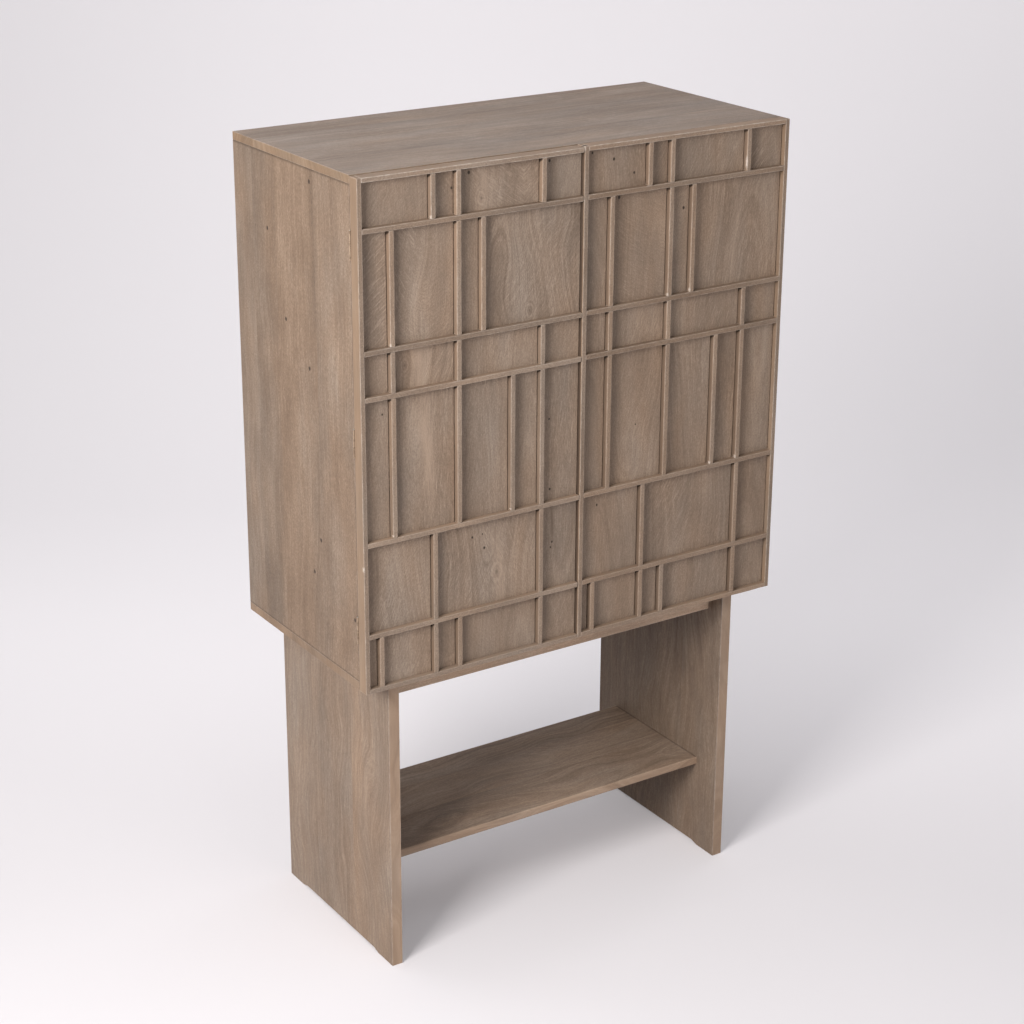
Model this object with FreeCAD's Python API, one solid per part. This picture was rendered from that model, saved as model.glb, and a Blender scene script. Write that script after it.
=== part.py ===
"""Bar cabinet on a plank stand, with two lattice doors and a fold-out serving shelf.

Millimetres, +Z up, +Y towards the back, origin on the floor at the middle of the footprint.
Every board, strip, hinge leaf, pin and screw is a solid of its own; nodes that hold several
identical pieces hold them as separate solids.
"""
import FreeCAD
import Part
import os
import math

Vec = FreeCAD.Vector

# ---------------------------------------------------------------- overall sizes
cabinet_width = 900.0        # across the side panels
cabinet_depth = 443.0        # door faces to the back edges
cabinet_height = 918.0       # underside of the bottom slab to the top face
stand_height = 587.0         # floor to the underside of the bottom slab

# ---------------------------------------------------------------- carcass boards
top_thickness = 15.0
bottom_thickness = 16.0
side_thickness = 16.0
divider_thickness = 16.0
back_thickness = 6.0
back_inset = 2.0             # back panel face inside the back edges
shelf_thickness = 16.0
shelf_setback = 24.0         # shelf fronts behind the carcass front
shelf_side_clearance = 0.5   # loose shelf to the panels beside it
edge_ease = 0.8              # rounding of sawn board edges
cut_overrun = 1.0            # how far a cutter starts outside the wood

# ---------------------------------------------------------------- doors
door_thickness = 24.0
door_seam = 1.5              # door back to carcass front
meeting_gap = 1.2            # between the two doors
meeting_offset = -2.2        # middle of that gap from the middle of the cabinet
door_bottom_drop = 0.5       # left door hangs this far below the bottom slab
right_door_lift = 1.5        # right door hangs this much higher than the left
door_height_trim = 1.0       # door is this much shorter than the cabinet
frame_face = 8.5             # face width of stiles, top rail and bottom rail
strip_width = 9.0            # face width of lattice rails and muntins
relief_depth = 9.5           # strip faces to the field boards
field_thickness = 4.0
field_edge_gap = 1.5         # open groove at the right edge of a field board
field_head_gap = 1.0         # clearance over a field board, which stands on the strip below
strip_ease = 0.7

# Lattice lines as shares of the field, left to right and bottom to top.
left_column_shares = (0.0570, 0.1254, 0.3089, 0.4228, 0.5345, 0.6736, 0.8138)
right_column_shares = (0.0543, 0.1210, 0.3060, 0.4174, 0.5318, 0.6703, 0.8106)
rail_shares = (0.1100, 0.2994, 0.5894, 0.6794, 0.9100)
# One string per band, bottom band first: a bar where that column carries a muntin.
band_patterns = ("|.||..|", "..|...|", ".|.|.||", ".|.|..|", ".|.||..", "..||..|")

# ---------------------------------------------------------------- door hinges and catches
door_hinge_length = 50.0
door_hinge_inset = 90.0      # hinge ends from the door's top and bottom
door_hinge_width = 14.0      # leaf width from the axis
door_hinge_outset = 0.5      # axis outside the side face
door_knuckle_radius = 1.8
door_pin_radius = 0.9
leaf_thickness = 1.0
pin_clearance = 0.05
pin_head_height = 0.8
pin_head_overhang = 0.6
knuckle_gap = 0.3
mortise_clearance = 0.1
knuckle_pocket = 0.3
door_screw_offset = 11.0     # screw line from the hinge axis
case_screw_length = 16.0
door_screw_length = 7.0
screw_radius = 1.3
screw_head_radius = 2.4
screw_head_depth = 0.9
screw_clearance = 0.05
catch_offset = 60.0          # catch centre from the middle of the cabinet
catch_width = 46.0
catch_depth = 18.0
catch_height = 14.0
magnet_width = 30.0
magnet_thickness = 4.0
magnet_height = 8.0
plate_thickness = 1.2        # strike plates and bumpers on the door backs
bumper_radius = 4.0
bumper_offset = 24.6         # bumper centre from the middle of the cabinet

# ---------------------------------------------------------------- left bay fittings
upper_bay_height = 445.0     # clear height above the serving shelf
cubby_height = 104.0
cubby_board_thickness = 12.0
cubby_columns = 4
cubby_tiers = 2
cubby_setback = 30.0
stem_rail_count = 5
stem_rail_width = 12.0
stem_rail_height = 18.0
stem_rail_length = 300.0
stem_slot = 30.0
stem_lip_thickness = 6.0

# ---------------------------------------------------------------- right bay fittings
leaf_back_clearance = 83.0   # stowed leaf to the back panel
leaf_side_clearance = 12.0   # lets the leaf pass the opening door
fold_leaf_thickness = 16.0
fold_axis_offset = 0.5       # axis in front of the shelf and leaf edges
fold_hinge_length = 50.0
fold_hinge_width = 24.0
fold_hinge_inset = 45.0
fold_knuckle_radius = 2.5
fold_pin_radius = 1.25
fold_leaf_sink = 0.05        # hinge leaves below the faces they are let into
fold_screw_offset = 15.0
fold_screw_length = 11.0
pull_radius = 9.0
pull_height = 16.0
pull_neck_radius = 4.5
pull_inset = 24.0
tray_clear_height = 94.0     # between the adjustable shelf and the serving shelf
shelf_pin_radius = 2.5
shelf_pin_length = 16.0
shelf_pin_inset = 50.0
pin_hole_pitch = 32.0
pin_hole_rows = 5
pin_hole_clearance = 0.1

# ---------------------------------------------------------------- stand
leg_inset = 63.0             # leg outer face inside the side face
leg_thickness = 22.0
leg_front_setback = 33.0     # leg front behind the door faces
leg_back_setback = 10.0
foot_length = 51.0
foot_ramp = 18.0
foot_relief = 5.0
lower_shelf_height = 198.0   # floor to the shelf's top face
lower_shelf_thickness = 17.0
lower_shelf_setback = 61.5   # from the leg edges, front and back
lower_shelf_nose = 4.0
apron_height = 55.0
apron_thickness = 20.0
apron_setback = 42.0         # from the leg edges, front and back

# ---------------------------------------------------------------- dowels and stand screws
dowel_radius = 4.0
dowel_clearance = 0.1
dowel_end_gap = 1.0
dowel_in_board = 10.0        # depth in the face of the thinner board
dowel_in_edge = 20.0         # depth in the end of the board that it carries
dowel_in_divider = 6.0
dowel_inset = 45.0
stand_screw_radius = 2.2
stand_screw_head_radius = 4.0
stand_screw_head_height = 3.0
stand_screw_well_clearance = 0.2
stand_screw_bite = 11.0      # depth in the bottom slab
stand_screw_cover = 20.0     # apron left above the counterbore
stand_screw_inset = 80.0

# ---------------------------------------------------------------- derived planes
half_width = cabinet_width / 2.0
front_y = -cabinet_depth / 2.0
back_y = cabinet_depth / 2.0
door_back_y = front_y + door_thickness
case_front_y = door_back_y + door_seam
hinge_y = (door_back_y + case_front_y) / 2.0
overall_height = stand_height + cabinet_height
inner_bottom = stand_height + bottom_thickness
inner_top = overall_height - top_thickness
inner_half = half_width - side_thickness
divider_half = divider_thickness / 2.0
bay_width = inner_half - divider_half
back_front_y = back_y - back_inset - back_thickness
shelf_front_y = case_front_y + shelf_setback
serving_top = inner_top - upper_bay_height
serving_bottom = serving_top - shelf_thickness
tray_shelf_top = serving_bottom - tray_clear_height
door_height = cabinet_height - door_height_trim
left_door_bottom = stand_height - door_bottom_drop
right_door_bottom = left_door_bottom + right_door_lift
strip_depth = relief_depth + field_thickness
core_front = front_y + strip_depth
field_front = front_y + relief_depth
leg_outer = half_width - leg_inset
leg_inner = leg_outer - leg_thickness
leg_front_y = front_y + leg_front_setback
leg_back_y = back_y - leg_back_setback
fold_axis_y = shelf_front_y - fold_axis_offset
leaf_end_y = back_front_y - leaf_back_clearance

os.makedirs("parts", exist_ok=True)


# ---------------------------------------------------------------- shape helpers
def block(x0, x1, y0, y1, z0, z1):
    """Box between two corners."""
    return Part.makeBox(x1 - x0, y1 - y0, z1 - z0, Vec(x0, y0, z0))


def ease(shape, radius):
    """Round every edge of a board a little, as sanding does."""
    return shape.makeFillet(radius, shape.Edges)


def board(x0, x1, y0, y1, z0, z1, radius=edge_ease):
    """Board with eased edges; the rounding stays well inside a thin board."""
    thinnest = min(x1 - x0, y1 - y0, z1 - z0)
    return ease(block(x0, x1, y0, y1, z0, z1), min(radius, thinnest / 4.0))


def rod(point, direction, radius, length):
    """Cylinder from a point along a direction."""
    return Part.makeCylinder(radius, length, point, direction)


def cut_all(shape, cutters):
    """Remove a list of cutters from a solid in one step."""
    return shape.cut(Part.makeCompound(cutters)) if cutters else shape


def save(node, shapes):
    """Write one node; a list is written as separate solids."""
    if not isinstance(shapes, (list, tuple)):
        shapes = [shapes]
    solids = [solid for shape in shapes for solid in shape.Solids]
    result = solids[0] if len(solids) == 1 else Part.makeCompound(solids)
    result.exportStep(os.path.join("parts", node + ".step"))
    return result


def spread(low, high, count):
    """Evenly spaced values from low to high."""
    return [low + (high - low) * i / (count - 1) for i in range(count)]


def mirrored(shape):
    """The same piece on the other side of the cabinet."""
    return shape.mirror(Vec(0, 0, 0), Vec(1, 0, 0))


def mirrored_list(shapes, lift=0.0):
    """Mirror a list of pieces and raise them."""
    copies = [mirrored(shape) for shape in shapes]
    for copy in copies:
        copy.translate(Vec(0, 0, lift))
    return copies


# ---------------------------------------------------------------- butt hinges
def screw(point, direction, length, radius, head_radius, head_depth):
    """Countersunk wood screw; the point is the middle of its flat head."""
    head = Part.makeCone(head_radius, radius, head_depth, point, direction)
    shank = rod(point, direction, radius, length)
    return head.fuse(shank).removeSplitter()


def screw_bore(point, direction, length):
    """Pilot hole and countersink that the screw sits in."""
    return screw(point, direction, length + screw_clearance, screw_radius + screw_clearance,
                 screw_head_radius + screw_clearance, screw_head_depth)


def butt_hinge(length, knuckle_radius, pin_radius, leaf_width, gap, screw_x, fixed_screw, moving_screw):
    """Three-knuckle butt hinge with its axis on local Z.

    Both leaves reach along +X. The fixed leaf is let into a board on the +Y side and holds the
    two outer knuckles; the moving leaf is on the -Y side and holds the middle one.
    """
    third = (length - 2 * knuckle_gap) / 3.0
    fixed_spans = ((0.0, third), (length - third, length))
    moving_spans = ((third + knuckle_gap, length - third - knuckle_gap),)
    root = knuckle_radius + knuckle_pocket
    bore = rod(Vec(0, 0, -cut_overrun), Vec(0, 0, 1), pin_radius + pin_clearance,
               length + 2 * cut_overrun)
    hinge = {}
    for name, side, spans, screw_length in (("fixed", 1, fixed_spans, fixed_screw),
                                            ("moving", -1, moving_spans, moving_screw)):
        near = side * gap / 2.0
        far = side * (gap / 2.0 + leaf_thickness)
        y0, y1 = min(near, far), max(near, far)
        leaf = block(root, leaf_width, y0, y1, 0, length)
        for z0, z1 in spans:
            leaf = leaf.fuse(block(0, root, y0, y1, z0, z1))
            leaf = leaf.fuse(rod(Vec(0, 0, z0), Vec(0, 0, 1), knuckle_radius, z1 - z0))
        into = Vec(0, side, 0)
        heads = [Vec(screw_x, near, z) for z in (length * 0.2, length * 0.8)]
        bores = [screw_bore(head, into, screw_length) for head in heads]
        hinge[name + "_leaf"] = leaf.removeSplitter().cut(bore).cut(Part.makeCompound(bores))
        hinge[name + "_screws"] = [screw(head, into, screw_length, screw_radius,
                                         screw_head_radius, screw_head_depth) for head in heads]
        mortise = block(0, leaf_width + mortise_clearance, min(0, far), max(0, far),
                        -mortise_clearance, length + mortise_clearance)
        pocket = rod(Vec(0, 0, -mortise_clearance), Vec(0, 0, 1), root,
                     length + pin_head_height + 2 * mortise_clearance)
        hinge[name + "_cut"] = [mortise, pocket] + bores
    pin = rod(Vec(0, 0, 0), Vec(0, 0, 1), pin_radius, length)
    head = rod(Vec(0, 0, length), Vec(0, 0, 1), pin_radius + pin_head_overhang, pin_head_height)
    hinge["pin"] = pin.fuse(head).removeSplitter()
    return hinge


def place(hinge, placement):
    """Move every piece of a hinge to its seat."""
    matrix = placement.toMatrix()
    moved = {}
    for key, value in hinge.items():
        pieces = [shape.copy() for shape in (value if isinstance(value, list) else [value])]
        for piece in pieces:
            piece.transformShape(matrix)
        moved[key] = pieces if isinstance(value, list) else pieces[0]
    return moved


def gather(hinges, key):
    """Collect one kind of piece from several hinges into a flat list."""
    found = []
    for hinge in hinges:
        value = hinge[key]
        found += value if isinstance(value, list) else [value]
    return found


door_hinge = butt_hinge(door_hinge_length, door_knuckle_radius, door_pin_radius, door_hinge_width,
                        door_seam, door_screw_offset, case_screw_length, door_screw_length)
hinge_starts = spread(left_door_bottom + door_hinge_inset,
                      left_door_bottom + door_height - door_hinge_inset - door_hinge_length, 3)
left_hinges = [place(door_hinge, FreeCAD.Placement(Vec(-half_width - door_hinge_outset, hinge_y, z),
                                                   FreeCAD.Rotation())) for z in hinge_starts]

fold_hinge = butt_hinge(fold_hinge_length, fold_knuckle_radius, fold_pin_radius, fold_hinge_width,
                        2 * fold_leaf_sink, fold_screw_offset, fold_screw_length, fold_screw_length)
# Local +X points to the back, local +Y points down into the shelf, local +Z points to the left.
fold_turn = FreeCAD.Matrix(0, 0, -1, 0, 1, 0, 0, 0, 0, -1, 0, 0, 0, 0, 0, 1)
fold_turn = FreeCAD.Placement(fold_turn).Rotation
fold_starts = (divider_half + fold_hinge_inset + fold_hinge_length, inner_half - fold_hinge_inset)
fold_hinges = [place(fold_hinge, FreeCAD.Placement(Vec(x, fold_axis_y, serving_top), fold_turn))
               for x in fold_starts]


# ---------------------------------------------------------------- dowels
def dowel(point, direction, back, ahead):
    """Dowel through a joint face at point: back into one board, ahead into the other."""
    start = point - direction * back
    return rod(start, direction, dowel_radius, back + ahead)


def dowel_bore(point, direction, back, ahead):
    """The hole for a dowel, longer at both ends."""
    start = point - direction * (back + dowel_end_gap)
    return rod(start, direction, dowel_radius + dowel_clearance, back + ahead + 2 * dowel_end_gap)


carcass_joints = []
for x in (-half_width + side_thickness / 2.0, 0.0, half_width - side_thickness / 2.0):
    for y in spread(case_front_y + dowel_inset, back_front_y - dowel_inset, 3):
        carcass_joints.append((Vec(x, y, inner_top), Vec(0, 0, 1), dowel_in_edge, dowel_in_board))
        carcass_joints.append((Vec(x, y, inner_bottom), Vec(0, 0, -1), dowel_in_edge, dowel_in_board))
shelf_mid_z = (serving_top + serving_bottom) / 2.0
for y in spread(shelf_front_y + dowel_inset, back_front_y - dowel_inset, 2):
    for side in (-1, 1):
        outward = Vec(side, 0, 0)
        inward = Vec(-side, 0, 0)
        carcass_joints.append((Vec(side * inner_half, y, shelf_mid_z), outward, dowel_in_edge,
                               dowel_in_board))
        carcass_joints.append((Vec(side * divider_half, y, shelf_mid_z), inward, dowel_in_edge,
                               dowel_in_divider))
stand_joints = []
lower_shelf_mid_z = lower_shelf_height - lower_shelf_thickness / 2.0
apron_bottom = stand_height - apron_height
front_apron_y = leg_front_y + apron_setback
rear_apron_y = leg_back_y - apron_setback - apron_thickness
lower_shelf_front_y = leg_front_y + lower_shelf_setback
lower_shelf_back_y = leg_back_y - lower_shelf_setback
for side in (-1, 1):
    outward = Vec(side, 0, 0)
    for y in spread(lower_shelf_front_y + dowel_inset, lower_shelf_back_y - dowel_inset, 3):
        stand_joints.append((Vec(side * leg_inner, y, lower_shelf_mid_z), outward, dowel_in_edge,
                             dowel_in_board))
    for y0 in (front_apron_y, rear_apron_y):
        for z in spread(apron_bottom + apron_height / 4.0, stand_height - apron_height / 4.0, 2):
            stand_joints.append((Vec(side * leg_inner, y0 + apron_thickness / 2.0, z), outward,
                                 dowel_in_edge, dowel_in_board))
carcass_bores = [dowel_bore(*joint) for joint in carcass_joints]
stand_bores = [dowel_bore(*joint) for joint in stand_joints]


# ---------------------------------------------------------------- stand screws
def stand_screw(x, y, grow=0.0):
    """Screw up through an apron into the bottom slab; grow turns it into its bore."""
    head_z = stand_height - stand_screw_cover - stand_screw_head_height
    head = rod(Vec(x, y, head_z), Vec(0, 0, 1), stand_screw_head_radius + grow, stand_screw_head_height)
    shank = rod(Vec(x, y, head_z), Vec(0, 0, 1), stand_screw_radius + grow,
                stand_screw_head_height + stand_screw_cover + stand_screw_bite + grow)
    solid = head.fuse(shank)
    if grow:
        well = rod(Vec(x, y, apron_bottom - cut_overrun), Vec(0, 0, 1),
                   stand_screw_head_radius + stand_screw_well_clearance,
                   head_z + stand_screw_head_height - apron_bottom + cut_overrun)
        solid = solid.fuse(well)
    return solid.removeSplitter()


stand_screw_places = [(x, y + apron_thickness / 2.0) for y in (front_apron_y, rear_apron_y)
                      for x in spread(-leg_inner + stand_screw_inset, leg_inner - stand_screw_inset, 3)]
stand_screws = [stand_screw(x, y) for x, y in stand_screw_places]
stand_screw_bores = [stand_screw(x, y, screw_clearance) for x, y in stand_screw_places]


# ---------------------------------------------------------------- adjustable shelf and its pins
pin_y_lines = (shelf_front_y + shelf_pin_inset, back_front_y - shelf_pin_inset)
pin_z = tray_shelf_top - shelf_thickness - shelf_pin_radius
pin_bite = shelf_pin_length / 2.0
pin_faces = ((divider_half, -1), (inner_half, 1))
shelf_pins = []
pin_bores = []
for face_x, side in pin_faces:
    for y in pin_y_lines:
        shelf_pins.append(rod(Vec(face_x - side * pin_bite, y, pin_z), Vec(side, 0, 0),
                              shelf_pin_radius, shelf_pin_length - dowel_end_gap))
        for row in range(pin_hole_rows):
            z = pin_z - (row - 1) * pin_hole_pitch
            pin_bores.append(rod(Vec(face_x - side * cut_overrun, y, z), Vec(side, 0, 0),
                                 shelf_pin_radius + pin_hole_clearance, pin_bite + cut_overrun))
save("shelf_pins", shelf_pins)
save("adjustable_shelf", board(divider_half + shelf_side_clearance, inner_half - shelf_side_clearance,
                               shelf_front_y, back_front_y - shelf_side_clearance,
                               tray_shelf_top - shelf_thickness, tray_shelf_top))

# ---------------------------------------------------------------- carcass
top_slab = board(-half_width, half_width, case_front_y, back_y, inner_top, overall_height)
save("top_slab", cut_all(top_slab, carcass_bores))
bottom_slab = board(-half_width, half_width, case_front_y, back_y, stand_height, inner_bottom)
save("bottom_slab", cut_all(bottom_slab, carcass_bores + stand_screw_bores))

left_side = board(-half_width, -inner_half, case_front_y, back_y, inner_bottom, inner_top)
right_side = board(inner_half, half_width, case_front_y, back_y, inner_bottom, inner_top)
left_case_cuts = gather(left_hinges, "fixed_cut")
right_case_cuts = mirrored_list(left_case_cuts, right_door_lift)
save("left_side_panel", cut_all(left_side, carcass_bores + left_case_cuts))
save("right_side_panel", cut_all(right_side, carcass_bores + right_case_cuts + pin_bores))
save("back_panel", block(-inner_half, inner_half, back_front_y, back_y - back_inset,
                         inner_bottom, inner_top))
divider = board(-divider_half, divider_half, case_front_y, back_front_y, inner_bottom, inner_top)
save("centre_divider", cut_all(divider, carcass_bores + pin_bores))
left_shelf = board(-inner_half, -divider_half, shelf_front_y, back_front_y, serving_bottom, serving_top)
save("left_mid_shelf", cut_all(left_shelf, carcass_bores))
serving_shelf = board(divider_half, inner_half, shelf_front_y, back_front_y, serving_bottom, serving_top)
save("serving_shelf", cut_all(serving_shelf, carcass_bores + gather(fold_hinges, "fixed_cut")))
save("carcass_dowels", [dowel(*joint) for joint in carcass_joints])

# ---------------------------------------------------------------- bottle cubbies in the left bay
cubby_front_y = case_front_y + cubby_setback
cubby_width = (bay_width - (cubby_columns - 1) * cubby_board_thickness) / cubby_columns
cubby_pitch = cubby_width + cubby_board_thickness
cubby_shelves = []
cubby_dividers = []
for tier in range(cubby_tiers):
    floor_z = inner_bottom + tier * (cubby_height + cubby_board_thickness)
    roof_z = floor_z + cubby_height
    cubby_shelves.append(board(-inner_half, -divider_half, cubby_front_y, back_front_y,
                               roof_z, roof_z + cubby_board_thickness))
    for column in range(1, cubby_columns):
        x1 = -inner_half + column * cubby_pitch
        cubby_dividers.append(board(x1 - cubby_board_thickness, x1, cubby_front_y, back_front_y,
                                    floor_z, roof_z))
save("cubby_shelves", cubby_shelves)
save("cubby_dividers", cubby_dividers)

# ---------------------------------------------------------------- stemware rails in the left bay
stem_mid_y = (case_front_y + back_front_y) / 2.0
stem_y0 = stem_mid_y - stem_rail_length / 2.0
stem_y1 = stem_mid_y + stem_rail_length / 2.0
stem_centres = spread(-inner_half + stem_rail_width / 2.0, -divider_half - stem_rail_width / 2.0,
                      stem_rail_count)
stem_pitch = stem_centres[1] - stem_centres[0]
lip_half = (stem_pitch - stem_slot) / 2.0
batten_bottom = inner_top - stem_rail_height
stem_battens = []
stem_lips = []
for x in stem_centres:
    stem_battens.append(board(x - stem_rail_width / 2.0, x + stem_rail_width / 2.0, stem_y0, stem_y1,
                              batten_bottom, inner_top))
    lip_x0 = max(x - lip_half, -inner_half)
    lip_x1 = min(x + lip_half, -divider_half)
    stem_lips.append(board(lip_x0, lip_x1, stem_y0, stem_y1,
                           batten_bottom - stem_lip_thickness, batten_bottom))
save("stemware_battens", stem_battens)
save("stemware_lips", stem_lips)

# ---------------------------------------------------------------- catches
magnet_z = inner_top - catch_height / 2.0
catches = []
magnets = []
for side in (-1, 1):
    x = side * catch_offset
    magnet = block(x - magnet_width / 2.0, x + magnet_width / 2.0, case_front_y,
                   case_front_y + magnet_thickness, magnet_z - magnet_height / 2.0,
                   magnet_z + magnet_height / 2.0)
    housing = board(x - catch_width / 2.0, x + catch_width / 2.0, case_front_y,
                    case_front_y + catch_depth, inner_top - catch_height, inner_top)
    magnets.append(magnet)
    catches.append(housing.cut(magnet))
save("catch_housings", catches)
save("catch_magnets", magnets)


# ---------------------------------------------------------------- doors
def columns_of(shares, field_x0, field_x1):
    """Muntin centre lines across a door's field."""
    return [field_x0 + share * (field_x1 - field_x0) for share in shares]


def build_door(name, x0, x1, z0, column_shares, stile_spans, cuts):
    """One door: framed core, lattice rails, muntins and the loose-fitted field boards."""
    z1 = z0 + door_height
    field_x0 = x0
    field_x1 = x1
    for stile_name, s0, s1 in stile_spans:
        stile = board(s0, s1, front_y, door_back_y, z0, z1, strip_ease)
        save(stile_name, cut_all(stile, cuts))
        if s0 == x0:
            field_x0 = s1
        else:
            field_x1 = s0
    for rail_name, r0 in (("_bottom_rail", z0), ("_top_rail", z1 - frame_face)):
        rail = board(field_x0, field_x1, front_y, door_back_y, r0, r0 + frame_face, strip_ease)
        save(name + rail_name, rail)
    field_z0 = z0 + frame_face
    field_z1 = z1 - frame_face
    core = block(field_x0, field_x1, core_front, door_back_y, field_z0, field_z1)
    save(name + "_core", cut_all(core, cuts))

    rails = [field_z0 + share * (field_z1 - field_z0) for share in rail_shares]
    half = strip_width / 2.0
    save(name + "_lattice_rails", [board(field_x0, field_x1, front_y, core_front, z - half, z + half,
                                         strip_ease) for z in rails])
    columns = columns_of(column_shares, field_x0, field_x1)
    band_floors = [field_z0] + [z + half for z in rails]
    band_roofs = [z - half for z in rails] + [field_z1]
    muntins = []
    fields = []
    open_edge = not any(s1 == x1 for _, _, s1 in stile_spans)
    for floor_z, roof_z, pattern in zip(band_floors, band_roofs, band_patterns):
        left = field_x0
        members = [column for column, mark in zip(columns, pattern) if mark == "|"]
        for centre in members:
            muntins.append(board(centre - half, centre + half, front_y, core_front, floor_z, roof_z,
                                 strip_ease))
            fields.append(block(left, centre - half - field_edge_gap, field_front, core_front,
                                floor_z, roof_z - field_head_gap))
            left = centre + half
        right = field_x1 if open_edge else field_x1 - field_edge_gap
        fields.append(block(left, right, field_front, core_front, floor_z, roof_z - field_head_gap))
    save(name + "_muntins", muntins)
    save(name + "_field_boards", fields)


def door_hardware(name, side):
    """Strike plate and bumpers on the back of a door."""
    x = side * catch_offset
    save(name + "_strike_plate", block(x - magnet_width / 2.0, x + magnet_width / 2.0, door_back_y,
                                       door_back_y + plate_thickness,
                                       magnet_z - magnet_height / 2.0, magnet_z + magnet_height / 2.0))
    bumper_x = side * bumper_offset
    bumper_levels = (stand_height + bottom_thickness / 2.0, overall_height - top_thickness / 2.0)
    save(name + "_bumpers", [rod(Vec(bumper_x, door_back_y, z), Vec(0, 1, 0), bumper_radius,
                                 plate_thickness) for z in bumper_levels])


left_door_cuts = gather(left_hinges, "moving_cut")
right_door_cuts = mirrored_list(left_door_cuts, right_door_lift)
left_door_edge = meeting_offset - meeting_gap / 2.0
right_door_edge = meeting_offset + meeting_gap / 2.0
build_door("left_door", -half_width, left_door_edge, left_door_bottom, left_column_shares,
           (("left_door_stile", -half_width, -half_width + frame_face),), left_door_cuts)
build_door("right_door", right_door_edge, half_width, right_door_bottom, right_column_shares,
           (("right_door_meeting_stile", right_door_edge, right_door_edge + frame_face),
            ("right_door_hinge_stile", half_width - frame_face, half_width)), right_door_cuts)
door_hardware("left_door", -1)
door_hardware("right_door", 1)

# ---------------------------------------------------------------- door hinge pieces
for key, left_node, right_node in (("fixed_leaf", "left_hinge_case_leaves", "right_hinge_case_leaves"),
                                   ("moving_leaf", "left_hinge_door_leaves", "right_hinge_door_leaves"),
                                   ("pin", "left_hinge_pins", "right_hinge_pins"),
                                   ("moving_screws", "left_door_hinge_screws", "right_door_hinge_screws")):
    pieces = gather(left_hinges, key)
    save(left_node, pieces)
    save(right_node, mirrored_list(pieces, right_door_lift))
case_screws = gather(left_hinges, "fixed_screws")
save("case_hinge_screws", case_screws + mirrored_list(case_screws, right_door_lift))

# ---------------------------------------------------------------- fold-out shelf
leaf_x0 = divider_half + leaf_side_clearance
leaf_x1 = inner_half - leaf_side_clearance
fold_leaf = board(leaf_x0, leaf_x1, shelf_front_y, leaf_end_y, serving_top,
                  serving_top + fold_leaf_thickness)
save("fold_out_leaf", cut_all(fold_leaf, gather(fold_hinges, "moving_cut")))
save("fold_hinge_shelf_leaves", gather(fold_hinges, "fixed_leaf"))
save("fold_hinge_flap_leaves", gather(fold_hinges, "moving_leaf"))
save("fold_hinge_pins", gather(fold_hinges, "pin"))
save("fold_hinge_shelf_screws", gather(fold_hinges, "fixed_screws"))
save("fold_hinge_flap_screws", gather(fold_hinges, "moving_screws"))
pull_base = Vec((leaf_x0 + leaf_x1) / 2.0, leaf_end_y - pull_inset, serving_top + fold_leaf_thickness)
neck = rod(pull_base, Vec(0, 0, 1), pull_neck_radius, pull_height / 2.0)
button = rod(pull_base + Vec(0, 0, pull_height / 2.0), Vec(0, 0, 1), pull_radius, pull_height / 2.0)
button = button.makeFillet(pull_height / 8.0, button.Edges)
save("fold_shelf_pull", neck.fuse(button))


# ---------------------------------------------------------------- stand
def leg_panel(x0, x1):
    """Plank leg; a shallow cut between its two feet clears the floor."""
    foot_y0 = leg_front_y + foot_length
    foot_y1 = leg_back_y - foot_length
    profile = ((foot_y0, -cut_overrun), (foot_y0, 0), (foot_y0 + foot_ramp, foot_relief),
               (foot_y1 - foot_ramp, foot_relief), (foot_y1, 0), (foot_y1, -cut_overrun),
               (foot_y0, -cut_overrun))
    relief = Part.makePolygon([Vec(x0 - cut_overrun, y, z) for y, z in profile])
    relief = Part.Face(relief).extrude(Vec(x1 - x0 + 2 * cut_overrun, 0, 0))
    plank = board(x0, x1, leg_front_y, leg_back_y, 0, stand_height)
    return cut_all(plank, [relief] + stand_bores)


save("left_leg_panel", leg_panel(-leg_outer, -leg_inner))
save("right_leg_panel", leg_panel(leg_inner, leg_outer))
lower_shelf = block(-leg_inner, leg_inner, lower_shelf_front_y, lower_shelf_back_y,
                    lower_shelf_height - lower_shelf_thickness, lower_shelf_height)
nose_edges = [edge for edge in lower_shelf.Edges
              if math.isclose(edge.CenterOfMass.y, lower_shelf_front_y, abs_tol=0.01)
              and math.isclose(edge.CenterOfMass.x, 0.0, abs_tol=0.01)]
lower_shelf = lower_shelf.makeFillet(min(lower_shelf_nose, lower_shelf_thickness / 3.0), nose_edges)
save("lower_shelf", cut_all(lower_shelf, stand_bores))
for node, y0 in (("front_apron", front_apron_y), ("rear_apron", rear_apron_y)):
    apron = board(-leg_inner, leg_inner, y0, y0 + apron_thickness, apron_bottom, stand_height)
    save(node, cut_all(apron, stand_bores + stand_screw_bores))
save("stand_dowels", [dowel(*joint) for joint in stand_joints])
save("stand_screws", stand_screws)
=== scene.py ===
import math
import random
import bmesh
import bpy
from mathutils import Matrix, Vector, noise


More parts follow.
